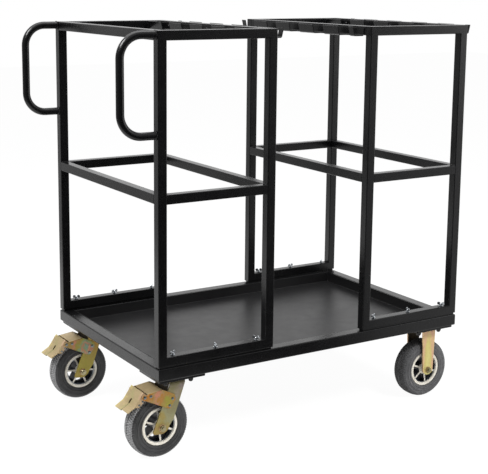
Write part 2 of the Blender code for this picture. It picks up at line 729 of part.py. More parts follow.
def leg_edges(z):
    """The rear and front edge of the swivel fork's leg at a height, from the swivel axis."""
    rise = (z - AXLE_HEIGHT) / (CROWN_TOP - AXLE_HEIGHT)
    rear_low = -AXLE_TRAIL - FORK_END_REAR
    front_low = -AXLE_TRAIL + FORK_END_FRONT
    rear = rear_low + (-FORK_CROWN_REAR - rear_low) * rise
    front = front_low + (FORK_CROWN_FRONT - front_low) * rise
    return rear, front


def rivet_places():
    """The upper and the lower rivet of the brake housing, from the swivel axis and the ground."""
    return [(rivet[0] - AXLE_TRAIL, rivet[1] + AXLE_HEIGHT) for rivet in (UPPER_RIVET, LOWER_RIVET)]


def fork_mesh():
    """Swivel fork: raked legs with a cut heel and a round toe, and a bored crown."""
    low = AXLE_HEIGHT - FORK_END_DROP
    strap = bent_strap(-AXLE_TRAIL - FORK_END_REAR - FORK_HEEL_DROP, FORK_CROWN_FRONT + FORK_SHEET,
                       CROWN_TOP, low - FORK_SHEET)
    heel_z = AXLE_HEIGHT - FORK_HEEL_DROP
    toe_z = AXLE_HEIGHT + FORK_TOE_RISE
    heel_x = leg_edges(heel_z)[0]
    toe_x = leg_edges(toe_z)[1]
    outline = [(-FORK_CROWN_REAR, CROWN_TOP + FORK_SHEET), (-FORK_CROWN_REAR, CROWN_TOP)]
    outline += [(heel_x, heel_z), (heel_x + FORK_HEEL_CUT, heel_z - FORK_HEEL_CUT)]
    outline += arc((FORK_TOE_CENTRE - AXLE_TRAIL, low + FORK_TOE_RADIUS), FORK_TOE_RADIUS, 270, 345, 4)
    outline += [(toe_x, toe_z), (FORK_CROWN_FRONT, CROWN_TOP), (FORK_CROWN_FRONT, CROWN_TOP + FORK_SHEET)]
    fork = combine(strap, prism(outline, "Y", -FORK_OUTER * 2, FORK_OUTER * 2), "INTERSECT")
    below = CROWN_UNDERSIDE - FORK_SHEET
    above = CROWN_TOP + FORK_SHEET
    fork = cut(fork, drill("Z", (0, 0), KING_PIN_DIAMETER, RUNNING_GAP, below, above, 12))
    holes = [((-AXLE_TRAIL, AXLE_HEIGHT), AXLE_DIAMETER)]
    holes += [(rivet, RIVET_DIAMETER) for rivet in rivet_places()]
    for centre, diameter in holes:
        fork = cut(fork, drill("Y", centre, diameter, SEAT_GAP, -FORK_OUTER * 2, FORK_OUTER * 2))
    return fork


def top_plate_mesh():
    """The caster's top plate with its four stud holes."""
    half_x = TOP_PLATE_LENGTH / 2
    half_y = TOP_PLATE_WIDTH / 2
    outline = rounded_rectangle(-half_x, half_x, -half_y, half_y, MOUNT_PLATE_CORNER)
    plate = prism(outline, "Z", TOP_PLATE_BOTTOM, TOP_PLATE_TOP)
    below = TOP_PLATE_BOTTOM - TOP_PLATE_SHEET
    above = TOP_PLATE_TOP + TOP_PLATE_SHEET
    for x in (-STUD_SPACING_X / 2, STUD_SPACING_X / 2):
        for y in (-STUD_SPACING_Y / 2, STUD_SPACING_Y / 2):
            plate = cut(plate, drill("Z", (x, y), STUD_DIAMETER, SEAT_GAP, below, above, 6))
    return plate


def swivel_plate_mesh():
    """Top plate, ball race and king pin, whose head lies under the fork's crown."""
    head_top = CROWN_UNDERSIDE - RUNNING_GAP
    outline = [
        (RACE_RADIUS, TOP_PLATE_BOTTOM + JOIN_DEPTH),
        (RACE_RADIUS, RACE_BOTTOM),
        (KING_PIN_DIAMETER / 2, RACE_BOTTOM),
        (KING_PIN_DIAMETER / 2, head_top),
        (KING_PIN_HEAD_DIAMETER / 2, head_top),
        (KING_PIN_HEAD_DIAMETER / 2, head_top - KING_PIN_HEAD_HEIGHT),
    ]
    return join(top_plate_mesh(), turned(outline, "Z", 16))


def pedal_pivot():
    """The brake pedal's pivot, seen from the side, from the swivel axis and the ground."""
    angle = math.radians(PEDAL_PIVOT_ANGLE)
    reach = TYRE_RADIUS + PEDAL_PIVOT_CLEARANCE
    return (-AXLE_TRAIL + reach * math.cos(angle), AXLE_HEIGHT + reach * math.sin(angle))


def offset(point, step):
    return (point[0] + step[0], point[1] + step[1])


def housing_mesh():
    """Brake housing: two cheeks riveted to the fork's legs, with a flat sloping sheet over the tyre."""
    pin = pedal_pivot()
    upper, lower = rivet_places()
    roof_rear = offset(pin, HOUSING_ROOF_REAR)
    roof_front = offset(pin, HOUSING_ROOF_FRONT)
    outline = [roof_rear, roof_front]
    outline += [offset(upper, step) for step in HOUSING_BROW]
    outline += [offset(lower, step) for step in HOUSING_CHIN]
    outline += arc(pin, HOUSING_NOSE, 235, 130, 4)
    shell = prism(outline, "Y", -HOUSING_OUTER, HOUSING_OUTER)
    slope = (roof_front[1] - roof_rear[1]) / (roof_front[0] - roof_rear[0])
    rear_low = roof_rear[1] - HOUSING_SHEET
    front_low = rear_low + slope * (roof_front[0] - roof_rear[0])
    hollow = [(-FAR, 0), (FAR, 0), (FAR, FAR), (roof_front[0], FAR), (roof_front[0], front_low)]
    hollow += [(roof_rear[0], rear_low), (roof_rear[0], FAR), (-FAR, FAR)]
    shell = cut(shell, prism(hollow, "Y", -HOUSING_INNER, HOUSING_INNER))
    through = HOUSING_OUTER * 2
    shell = cut(shell, drill("Y", pin, PEDAL_PIN_DIAMETER, RUNNING_GAP, -through, through))
    for centre in (upper, lower):
        for side in (-1, 1):
            root = side * (HOUSING_OUTER - JOIN_DEPTH)
            shank = rod("Y", centre, RIVET_DIAMETER, *sorted((side * FORK_INNER, root)))
            head = rod("Y", centre, RIVET_HEAD_DIAMETER, *sorted((root, side * (HOUSING_OUTER + RIVET_HEAD_HEIGHT))))
            shell = join(shell, shank, head)
    return shell


def pedal_mesh():
    """Brake pedal about its pivot: a face over the housing's end, a foot tongue, cheeks and a shoe bar."""
    slant = math.radians(180 + PEDAL_FACE_ANGLE)
    tilt = math.radians(180 + PEDAL_FLANGE_ANGLE)
    down = (math.cos(slant), math.sin(slant))
    outward = (down[1], -down[0])
    along = (math.cos(tilt), math.sin(tilt))
    flange_up = (along[1], -along[0])
    sheet = PEDAL_SHEET
    half = PEDAL_HALF_WIDTH

    def face_point(lower, out):
        return (down[0] * lower + outward[0] * out, down[1] * lower + outward[1] * out)

    def beyond(point, length, rise):
        return (point[0] + along[0] * length + flange_up[0] * rise,
                point[1] + along[1] * length + flange_up[1] * rise)

    face = PEDAL_FACE_OFFSET
    top = face_point(-PEDAL_FACE_TOP, face)
    bend = face_point(PEDAL_FACE_LOW, face)
    fold = face_point(PEDAL_FACE_LOW - sheet * math.tan((slant - tilt) / 2), face + sheet)
    outline = [top, bend, beyond(bend, PEDAL_TONGUE_LENGTH, 0), beyond(bend, PEDAL_TONGUE_LENGTH, sheet)]
    outline += [fold, face_point(-PEDAL_FACE_TOP, face + sheet)]
    pedal = prism(outline, "Y", -half, half)
    spare = [beyond(bend, PEDAL_FLANGE_LENGTH, -sheet), beyond(bend, PEDAL_FLANGE_LENGTH, sheet * 2)]
    spare += [beyond(bend, PEDAL_TONGUE_LENGTH * 2, sheet * 2), beyond(bend, PEDAL_TONGUE_LENGTH * 2, -sheet)]
    pedal = cut(pedal, prism(spare, "Y", -half * 2, 0))
    middle = face + sheet / 2
    cheek = [face_point(PEDAL_CHEEK_MARGIN - PEDAL_FACE_TOP, middle), *PEDAL_CHEEK_FRONT]
    cheek += [face_point(PEDAL_FACE_LOW - PEDAL_CHEEK_RISE, -PEDAL_CHEEK_DEPTH)]
    cheek += [face_point(PEDAL_FACE_LOW - PEDAL_CHEEK_MARGIN, middle)]
    shoe = face_point(SHOE_DROP, SHOE_OFFSET)
    pedal = join(pedal, rod("Y", shoe, SHOE_DIAMETER, -half + sheet / 2, half - sheet / 2))
    head_seat = HOUSING_OUTER + RUNNING_GAP
    for side in (-1, 1):
        edge = side * (half - PEDAL_CHEEK_STEP)
        pedal = join(pedal, prism(cheek, "Y", *sorted((edge, side * (half - sheet)))))
        head_end = side * (head_seat + PEDAL_PIN_HEAD_HEIGHT)
        pin_ends = sorted((side * (half - sheet / 2), head_end - side * JOIN_DEPTH))
        pin = rod("Y", (0, 0), PEDAL_PIN_DIAMETER, *pin_ends)
        head = rod("Y", (0, 0), PEDAL_PIN_HEAD, *sorted((side * head_seat, head_end)))
        pedal = join(pedal, join(pin, head))
    slot_low = PEDAL_FACE_LOW - sheet
    slot_high = slot_low - PEDAL_SLOT_LENGTH
    slot = [face_point(slot_high, face - sheet), face_point(slot_high, face + sheet * 2)]
    slot += [face_point(slot_low, face + sheet * 2), face_point(slot_low, face - sheet)]
    slit = [face_point(slot_low - sheet, face - sheet), face_point(slot_low - sheet, face + sheet * 2)]
    slit += [beyond(bend, PEDAL_TONGUE_LENGTH * 2, sheet * 2), beyond(bend, PEDAL_TONGUE_LENGTH * 2, -sheet)]
    for outline, width in ((slot, PEDAL_SLOT_WIDTH), (slit, PEDAL_SLIT_WIDTH)):
        pedal = cut(pedal, prism(outline, "Y", -width / 2, width / 2))
    return pedal


def build_swivel_caster(side, y, outward_y, wheels):
    build_mount_plate(f"mount_plate_{side}_left", SWIVEL_X, y, -1, outward_y)
    place(f"swivel_plate_{side}", swivel_plate_mesh(), "yellow_zinc", (SWIVEL_X, y, 0))
    swivel = pivot(f"swivel_axis_{side}", (SWIVEL_X, y, 0))
    place(f"fork_{side}", fork_mesh(), "yellow_zinc", parent=swivel)
    place(f"brake_housing_{side}", housing_mesh(), "yellow_zinc", parent=swivel)
    pin_x, pin_z = pedal_pivot()
    place(f"brake_pedal_{side}", pedal_mesh(), "yellow_zinc", (pin_x, 0, pin_z), parent=swivel)
    build_wheel(f"{side}_left", -AXLE_TRAIL, 0, FORK_OUTER, wheels, swivel)


def bracket_mesh():
    """Rigid bracket: a top plate welded over a strap bent to two tapering, round-ended legs."""
    low = AXLE_HEIGHT - BRACKET_END_DROP
    top = TOP_PLATE_BOTTOM + JOIN_DEPTH
    half = BRACKET_TOP_WIDTH / 2
    end = BRACKET_END_WIDTH / 2
    strap = bent_strap(-half, half, top, low - FORK_SHEET)
    outline = [(half, top + FORK_SHEET), (-half, top + FORK_SHEET), (-half, top - BRACKET_SHOULDER)]
    outline += arc((0, AXLE_HEIGHT + end - BRACKET_END_DROP), end, 180, 360, 8)
    outline += [(half, top - BRACKET_SHOULDER)]
    strap = combine(strap, prism(outline, "Y", -FORK_OUTER * 2, FORK_OUTER * 2), "INTERSECT")
    drilled = drill("Y", (0, AXLE_HEIGHT), AXLE_DIAMETER, SEAT_GAP, -FORK_OUTER * 2, FORK_OUTER * 2)
    strap = cut(strap, drilled)
    return join(top_plate_mesh(), strap)


def build_rigid_caster(side, y, outward_y, bracket, wheels):
    build_mount_plate(f"mount_plate_{side}_right", RIGID_X, y, 1, outward_y)
    place(f"bracket_{side}", bracket, "yellow_zinc", (RIGID_X, y, 0))
    build_wheel(f"{side}_right", RIGID_X, y, FORK_OUTER, wheels, None)


def build_casters():
    wheels = (hub_mesh(), tyre_mesh())
    bracket = bracket_mesh()
    for side, y, outward_y in (("front", -CASTER_Y, -1), ("back", CASTER_Y, 1)):
        build_swivel_caster(side, y, outward_y, wheels)
        build_rigid_caster(side, y, outward_y, bracket, wheels)


def build_cart():
    clear_scene()
    build_base()
    left_x = END_X + RACK_LENGTH / 2
    right_x = FAR_X - RACK_LENGTH / 2
    frame = rack_frame_mesh()
    rail = side_rail_mesh()
    bolt = wing_bolt_mesh()
    for side, centre_x in (("left", left_x), ("right", right_x)):
        build_rack(side, centre_x, frame, rail)
        build_wing_bolts(side, centre_x, bolt)
    build_combs(left_x, right_x)
    build_handles()
    build_casters()


build_cart()
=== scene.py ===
import json
import math
from functools import partial, reduce

import bmesh
import bpy
from mathutils import Matrix, Vector


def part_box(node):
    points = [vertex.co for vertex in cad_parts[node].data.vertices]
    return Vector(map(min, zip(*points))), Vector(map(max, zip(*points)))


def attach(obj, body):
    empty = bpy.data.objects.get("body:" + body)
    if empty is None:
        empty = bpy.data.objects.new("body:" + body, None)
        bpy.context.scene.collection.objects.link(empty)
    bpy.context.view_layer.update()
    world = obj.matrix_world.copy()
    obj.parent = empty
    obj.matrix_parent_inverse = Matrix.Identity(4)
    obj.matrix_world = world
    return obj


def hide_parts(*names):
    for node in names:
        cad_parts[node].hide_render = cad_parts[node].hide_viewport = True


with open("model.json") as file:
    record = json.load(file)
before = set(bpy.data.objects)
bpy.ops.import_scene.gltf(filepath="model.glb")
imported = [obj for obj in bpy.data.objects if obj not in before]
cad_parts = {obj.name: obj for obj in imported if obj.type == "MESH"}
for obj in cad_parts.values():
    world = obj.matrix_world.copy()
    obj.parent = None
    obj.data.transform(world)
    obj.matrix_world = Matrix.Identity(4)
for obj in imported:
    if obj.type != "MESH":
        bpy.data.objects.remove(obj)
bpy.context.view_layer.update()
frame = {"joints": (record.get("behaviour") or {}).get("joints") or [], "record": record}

# Finer pieces take the place of the frame's solids. Places come from the frame, in metres, +Z up.

BODY_OF = {node: body for body, nodes in frame["record"]["behaviour"]["bodies"].items()
           for node in nodes}
JOINTS = {joint["name"]: Vector(joint["pos_m"]) for joint in frame["joints"]}
MM = 0.001


def mm(*lengths):
    """Millimetres as metres; a group of lengths stays a group."""
    return tuple(mm(*length) if isinstance(length, tuple) else length * MM for length in lengths)


SEAT_GAP, JOIN_DEPTH = mm(0.3, 0.6)
SHARP_ANGLE, BEVEL_ANGLE = 32, 35
THICK_EDGE, EDGE, SHEET_EDGE, NUT_EDGE, SCREW_EDGE = mm(0.6, 0.5, 0.4, 0.3, 0.25)
FAR = 1.0

# Tubes and sheets
TUBE_CORNER, BASE_CORNER = mm(2.6, 4)
FOOT_STRIP, FOOT_STRIP_INSET, FOOT_STRIP_CORNER = mm(5, 4.5, 1)
TRAY_SHEET, TRAY_CORNER, TRAY_BEND = mm(2, 5, 4)
WELD_RADIUS, WELD_RIPPLE = mm(2.2, 3.2)

# Comb strips: the rack, the place, the number of slots, and whether the strip reaches towards -X
COMBS = (("left", "gap_side", 5, False), ("left", "inside", 4, True),
         ("right", "gap_side", 5, True), ("right", "end_side", 5, False),
         ("right", "inside", 4, True))
COMB_SHEET, COMB_BEND, COMB_BACK_TOP = mm(2.5, 4, 6)
COMB_FLOOR_REACH, COMB_LIP_DROP = mm(40, 2)
COMB_PITCH, COMB_SLOT, COMB_SLOT_ROOT = mm(143.2, 58.7, 4)
COMB_SCREW_PLACES, COMB_SCREW_DROP = mm((-268, 0, 268), 17)
SCREW_HEAD, SCREW_SOCKET = mm((5, 3), (1.8, 1.4, 5))

# Handles
HANDLE_BEND, HANDLE_WELD_RISE = mm(68, 2)
HANDLE_SIDES, HANDLE_RIPPLES = 28, 22

# Wing bolts
WING_THICKNESS, WING_HEIGHT, WING_REACH, WING_EAR_RADIUS = mm(2.8, 12.4, 13, 5.6)
WING_BOSS_RADIUS, WASHER_RADIUS, WASHER_THICKNESS = mm(5, 7, 1.4)
WING_TURNS = {"front": (25, 75, 125), "back": (-20, 15, 50)}

# Wheels
TYRE_RADIUS = JOINTS["wheel_front_left_roll"].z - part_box("tyre_front_left")[0].z
TYRE_HALF, TREAD_CUT = mm(32.5, 2)
TREAD_BLOCKS, BLOCK_STEPS = 76, 6
TREAD_SLOPE = 0.32
RIM_RADIUS, RIM_INNER, RIM_SEAT, RIM_HALF = mm(62, 51, 56, 27.8)
RIM_FLANGE, RIM_LIP, RIM_LIP_HALF = mm(3.6, 9, 2.5)
HUB_BORE, HUB_NOSE, HUB_RADIUS, HUB_HALF = mm(9, 14, 21, 30)
SPIDER_FACE, SPOKE_WIDTH = mm(20.5, 5.4)
SPOKE_COUNT = 6
HUB_PHASES = {"front_left": -36, "back_left": 6, "front_right": -40, "back_right": -20}

# The sidewall in even steps with raised and sunk rings, then the tread from its shoulder to the
# crown: share of the wall's height, share of the half width, and its row of blocks or "groove"
WALL_STEPS, WALL_START, WALL_RISE = 16, 0.08, 0.64
WALL_RINGS = dict(zip((3, 4, 9, 10, 13), mm(0.9, -1.1, 0.9, -1.1, -1.1)))
TREAD = ((0.76, 0.90, 0), (0.86, 0.78, 0), (0.90, 0.70, 0), (0.905, 0.665, "groove"),
         (0.925, 0.635, "groove"), (0.95, 0.60, 1), (0.975, 0.42, 1), (0.975, 0.385, "groove"),
         (0.975, 0.345, "groove"), (0.992, 0.31, 2), (1.0, 0.10, 2), (0.985, 0.065, "groove"),
         (0.985, 0.0, "groove"))

# Casters, seen from the side about their swivel axis
SHEET, FORK_BEND, AXLE_TRAIL = mm(5, 10, 57)
FORK_CROWN_FRONT, FORK_CROWN_REAR = mm(26.5, 26)
FORK_END_FRONT, FORK_END_REAR, FORK_END_DROP = mm(32, 27.5, 19.5)
FORK_HEEL_DROP, FORK_HEEL_CUT = mm(12, 5)
FORK_TOE_RADIUS, FORK_TOE_CENTRE, FORK_TOE_RISE = mm(32, -5, 24)
BRACKET_TOP_WIDTH, BRACKET_END_WIDTH, BRACKET_END_DROP = mm(57, 46, 18)
RACE_RADIUS, RACE_ROUND, KING_PIN_RADIUS = mm(37, 2.6, 13)
NUT_ACROSS, NUT_HEIGHT, AXLE_RADIUS = mm(19, 8, 6)
AXLE_WASHER = mm(12, 1.6)
PLATE_CORNER, CAP_NUT_RADIUS = mm(6, 8)
STUD_X, STUD_Y = mm(46, 40)

# Brake: bends and rivets as steps from their pin; rivet heads as radius and height
THIN_SHEET, SHEET_FOLD_RADIUS, HOUSING_NOSE = mm(2.5, 1.8, 9)
HOUSING_ROOF_REAR, HOUSING_ROOF_FRONT = mm((12, 8.4), (62, 14.3))
HOUSING_BROW = mm((-20, 27), (7, 12.5), (11, -3))
HOUSING_CHIN = mm((3, -8.5), (-6, -8.5))
HOUSING_RIVETS = mm((35.1, 91.4), (25, 70.2))
SHOE_LINK_RIVET = mm(21, 0)
PEDAL_FACE_ANGLE, PEDAL_FLANGE_ANGLE = 55, 31
PEDAL_FACE_TOP, PEDAL_FACE_LOW, PEDAL_FACE_OFFSET = mm(11, 41.4, 9.1)
PEDAL_FLANGE_LENGTH, PEDAL_TONGUE_LENGTH = mm(28.5, 32)
PEDAL_SLOT, PEDAL_LINK = mm((8, 16), (9, 22, 3))
PEDAL_HALF_WIDTH, PEDAL_SLIT_WIDTH = mm(41.3, 1.2)
PEDAL_CHEEK_FRONT, PEDAL_CHEEK_LOW = mm(((8, 6), (7, -8)), (6, -3))
PEDAL_RIVETS = mm((-5, -13.3), (-16.8, -23))
SHOE_RADIUS, SHOE_DROP, SHOE_OFFSET = mm(5.5, 22.9, -1.5)
RIVET, PIN_HEAD, SMALL_RIVET = mm((5, 2.2), (5.5, 2), (3.6, 1.8))

# Camera, as the photograph was taken
CAMERA_PLACE = Vector((-2.1204, -3.3277, 1.4824))
CAMERA_AZIMUTH, CAMERA_DOWN, CAMERA_ROLL = 31.44, 9.964, 0.477
CAMERA_LENS, CAMERA_SENSOR = 84.43, 36
CAMERA_SHIFT = (0.03196, -0.1162)

# Studio: the tone that gloss sees, by degrees round the cart from the front (0) by the left (90)
# to the back; level round the sides, and one tone overhead between two heights
STUDIO_TONES = ((180, 0.95), (165, 0.70), (148, 0.38), (120, 0.28), (90, 0.20), (45, 0.06),
                (0, 0.01), (-22, 0.01), (-30, 0.05), (-36, 0.30), (-42, 0.56), (-60, 0.6),
                (-90, 0.7), (-125, 0.95), (-150, 1.0), (-180, 0.95))
OVERHEAD_TONE, OVERHEAD_FROM = 0.6, (0.35, 0.85)
SOFT_LIGHT = 0.28
PAPER_CENTRE = (-0.7, 0.75, 0)
PAPER_REACH = (1.3, 2.1)
FLOOR_SIZE, FLOOR_DROP = 30, 0.0005
FLOOR_GLOW, FLOOR_SHADE, FLOOR_MATT = 0.96, 0.08, 0.75

# Lamps: place, target, size, power, and whether gloss shows them
LAMPS = {
    "top_softbox": ((0, 0.6, 4.2), (0, 0, 0.7), (3.6, 2.6), 60, True),
    "left_softbox": ((-3.0, -0.3, 4.0), (-0.4, 0, 0.2), (1.6, 1.6), 150, True),
    "right_softbox": ((3.8, -2.4, 1.8), (0, 0, 0.7), (1.6, 2.4), 22, True),
    "front_softbox": ((1.2, -3.8, 4.4), (0, 0, 0.2), (1.2, 1.0), 180, False),
}


# Shapes

def arc(centre, radius, start, end, steps):
    """Points on an arc, both ends included; the angles are in degrees."""
    angles = [math.radians(start + (end - start) * i / steps) for i in range(steps + 1)]
    return [(centre[0] + radius * math.cos(a), centre[1] + radius * math.sin(a)) for a in angles]


def around(count, shift=0.0):
    """Even steps of a full turn, in radians."""
    return [2 * math.pi * (i + shift) / count for i in range(count)]


def rounded(low_a, high_a, low_b, high_b, radius, steps=4):
    corners = ((high_a - radius, high_b - radius), (low_a + radius, high_b - radius),
               (low_a + radius, low_b + radius), (high_a - radius, low_b + radius))
    return [point for quarter, corner in enumerate(corners)
            for point in arc(corner, radius, 90 * quarter, 90 * quarter + 90, steps)]


def footprint(node, radius, inset=0.0, steps=4):
    """A rounded outline of a node of the frame from above."""
    low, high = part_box(node)
    return rounded(low.x + inset, high.x - inset, low.y + inset, high.y - inset, radius, steps)


def mirrored(half):
    """A section about Y from its half on one side."""
    return half + [(r, -y) for r, y in reversed(half)]


def mesh_of(bm):
    bmesh.ops.recalc_face_normals(bm, faces=bm.faces)
    mesh = bpy.data.meshes.new("shape")
    bm.to_mesh(mesh)
    bm.free()
    mesh.shade_smooth()
    mesh.set_sharp_from_angle(angle=math.radians(SHARP_ANGLE))
    return mesh


def bridge(bm, ring, following, closed=True):
    count = len(ring)
    for i in range(count if closed else count - 1):
        j = (i + 1) % count
        bm.faces.new((ring[i], ring[j], following[j], following[i]))


def skin(rings, closed=False):
    """A closed shape through rings of as many points, capped unless it closes on itself."""
    bm = bmesh.new()
    loops = [[bm.verts.new(point) for point in ring] for ring in rings]
    for ring, following in zip(loops, loops[1:] + loops[:1] if closed else loops[1:]):
        bridge(bm, ring, following)
    if not closed:
        bm.faces.new(loops[0])
        bm.faces.new(loops[-1])
    return mesh_of(bm)


def on_axis(axis, first, second, along):
    """A point of an outline square to an axis: (y, z) for X, (x, z) for Y, (x, y) for Z."""
    point = [first, second]
    point.insert("XYZ".index(axis), along)
    return point


def prism(outline, axis, low, high):
    return skin([[on_axis(axis, a, b, along) for a, b in outline] for along in (low, high)])


def turned(outline, axis="Y", segments=48, closed=False):
    """A shape turned about an axis from (radius, along) points; a closed outline makes a ring."""
    bm = bmesh.new()
    rings = [[bm.verts.new(on_axis(axis, r * math.cos(t), r * math.sin(t), a)) for r, a in outline]
             for t in around(segments)]
    for ring, following in zip(rings, rings[1:] + rings[:1]):
        bridge(bm, ring, following, closed)
    if not closed:
        bm.faces.new([ring[0] for ring in rings])
        bm.faces.new([ring[-1] for ring in rings])
    return mesh_of(bm)


def rod(radius, start, end, axis="Y", segments=48):
    return turned([(radius, start), (radius, end)], axis, segments)


def turned_pair(outline, segments=48, closed=False):
    """A shape turned about Y, once on each side of the origin."""
    return [turned([(r, sign * y) for r, y in outline], "Y", segments, closed) for sign in (-1, 1)]


def add_object(name, data):
    item = bpy.data.objects.new(name, data)
    bpy.context.scene.collection.objects.link(item)
    return item


def combine(operation, base, tool):
    """The mesh of one shape joined with, cut by or kept within another."""
    target = add_object("target", base)
    cutter = add_object("cutter", tool)
    modifier = target.modifiers.new("combine", "BOOLEAN")
    modifier.operation = operation
    modifier.solver = "EXACT"
    modifier.object = cutter
    shaped = target.evaluated_get(bpy.context.evaluated_depsgraph_get())
    bm = bmesh.new()
    bm.from_mesh(shaped.to_mesh())
    shaped.to_mesh_clear()
    for item in (target, cutter):
        bpy.data.objects.remove(item, do_unlink=True)
    bmesh.ops.dissolve_degenerate(bm, dist=0.00001, edges=bm.edges)
    flat = math.radians(0.5)
    bmesh.ops.dissolve_limit(bm, angle_limit=flat, verts=bm.verts, edges=bm.edges)
    return mesh_of(bm)


def join(*meshes):
    return reduce(partial(combine, "UNION"), meshes)


def cut(*meshes):
    return reduce(partial(combine, "DIFFERENCE"), meshes)


def together(*meshes):
    """Several separate bodies as one mesh."""
    bm = bmesh.new()
    for mesh in meshes:
        bm.from_mesh(mesh)
    return mesh_of(bm)


def moved(mesh, x, y, z=0.0):
    mesh.transform(Matrix.Translation((x, y, z)))
    return mesh


def mitred_frame(length, height, tube, corner):
    """Four tubes mitred to an upright rectangle in the XZ plane, centred on the origin."""
    section = rounded(0, tube, -tube / 2, tube / 2, corner)
    rings = [[(side_x * (length / 2 - s), t, side_z * (height / 2 - s)) for s, t in section]
             for side_x, side_z in ((-1, -1), (1, -1), (1, 1), (-1, 1))]
    return skin(rings, closed=True)


def swept(path, radii, sides=10):
    """A round tube along a path, with a radius for each point."""
    rings = []
    for i, (point, radius) in enumerate(zip(path, radii)):
        before = Vector(path[max(i - 1, 0)])
        after = Vector(path[min(i + 1, len(path) - 1)])
        along = (after - before).normalized()
        side = along.cross(Vector((0.3, 0.2, 0.93))).normalized()
        other = side.cross(along)
        rings.append([Vector(point) + radius * (math.cos(t) * side + math.sin(t) * other)
                      for t in around(sides)])
    return skin(rings)


def weld(start, end):
    """A rippled bead from one point to another."""
    start, end = Vector(start), Vector(end)
    steps = max(int((end - start).length / WELD_RIPPLE) * 4, 8)
    radii = [WELD_RADIUS * (0.86 + 0.14 * math.cos(math.pi * i / 2)) for i in range(steps + 1)]
    radii[0] = radii[-1] = WELD_RADIUS * 0.35
    return swept([start.lerp(end, i / steps) for i in range(steps + 1)], radii)


def weld_ring(x, y, z, radius):
    """A rippled bead round the end of a tube along X."""
    rings = []
    for i, t in enumerate(around(HANDLE_RIPPLES * 4)):
        swell = WELD_RADIUS * (0.88 + 0.12 * math.cos(math.pi * i / 2))
        rings.append([(x - WELD_RADIUS + a, y + (radius + b) * math.cos(t),
                       z + (radius + b) * math.sin(t)) for a, b in arc((0, 0), swell, 0, 315, 7)])
    return skin(rings, closed=True)


def dome(radius, height, axis, side, base, segments=24):
    """A low round head standing on base, towards side along its axis."""
    outline = [(radius, base - side * JOIN_DEPTH)]
    outline += [(radius * c, base + side * height * (0.25 + 0.75 * s))
                for c, s in arc((0, 0), 1, 0, 84, 6)]
    return turned(outline, axis, segments)


# Materials

def grey(level):
    return (level, level, level, 1)


class Nodes:
    """Adds nodes to a tree; an input, by name or number, takes a plain value or an output."""

    def __init__(self, tree):
        self.tree = tree

    def plug(self, socket, value):
        if isinstance(value, bpy.types.NodeSocket):
            self.tree.links.new(value, socket)
        else:
            socket.default_value = value

    def add(self, kind, inputs, **settings):
        made = self.tree.nodes.new("ShaderNode" + kind)
        for key, value in settings.items():
            setattr(made, key, value)
        for key, value in inputs.items():
            self.plug(made.inputs[key], value)
        return made.outputs

    def maths(self, operation, first, second):
        return self.add("Math", {0: first, 1: second}, operation=operation)[0]

    def mix(self, factor, first, second, blend="MIX"):
        return self.add("Mix", {0: factor, 6: first, 7: second},
                        data_type="RGBA", blend_type=blend)[2]

    def ramp(self, factor, *stops):
        """Blends between (place, colour) stops; a plain number is a grey."""
        made = self.tree.nodes.new("ShaderNodeValToRGB")
        self.plug(made.inputs["Fac"], factor)
        elements = made.color_ramp.elements
        while len(elements) < len(stops):
            elements.new(0.5)
        for element, (place, colour) in zip(elements, stops):
            element.position = place
            element.color = (*colour, 1) if isinstance(colour, tuple) else grey(colour)
        return made.outputs["Color"]


class Surface(Nodes):
    """A material on a Principled shader, in the piece's own coordinates."""

    def __init__(self, name):
        self.material = bpy.data.materials.new(name)
        self.material.use_nodes = True
        super().__init__(self.material.node_tree)
        self.shader = self.tree.nodes["Principled BSDF"]
        self.place = self.add("TexCoord", {})["Object"]

    def noise(self, scale, detail, stretch=(1, 1, 1), roughness=0.5):
        place = self.add("Mapping", {"Vector": self.place, "Scale": stretch})["Vector"]
        return self.add("TexNoise", {"Vector": place, "Scale": scale, "Detail": detail,
                                     "Roughness": roughness})["Fac"]

    def bump(self, height, depth, strength, **before):
        inputs = {"Height": height, "Distance": depth, "Strength": strength, **before}
        return self.add("Bump", inputs)["Normal"]

    def finish(self, colour, roughness, normal, metallic=0.0):
        names = ("Base Color", "Roughness", "Normal", "Metallic")
        for name, value in zip(names, (colour, roughness, normal, metallic)):
            self.plug(self.shader.inputs[name], value)
        return self.material


def powder_coat(name, low, high, rough, grain=0.00005):
    """Satin powder coat: fine orange peel, cloudy sheen and a few faint rubs."""
    s = Surface(name)
    colour = s.ramp(s.noise(9, 4), (0.3, low), (0.7, high))
    rubs = s.ramp(s.noise(38, 6, (1, 1, 0.12), 0.65), (0.62, 0.0), (0.72, 1.0))
    roughness = s.ramp(s.noise(24, 5), (0.25, rough - 0.03), (0.75, rough + 0.04))
    roughness = s.mix(s.maths("MULTIPLY", rubs, 0.25), roughness, grey(rough + 0.2))
    peel = s.bump(s.noise(620, 2), grain, 0.6)
    return s.finish(colour, roughness, s.bump(s.noise(85, 3), grain * 3, 0.35, Normal=peel))


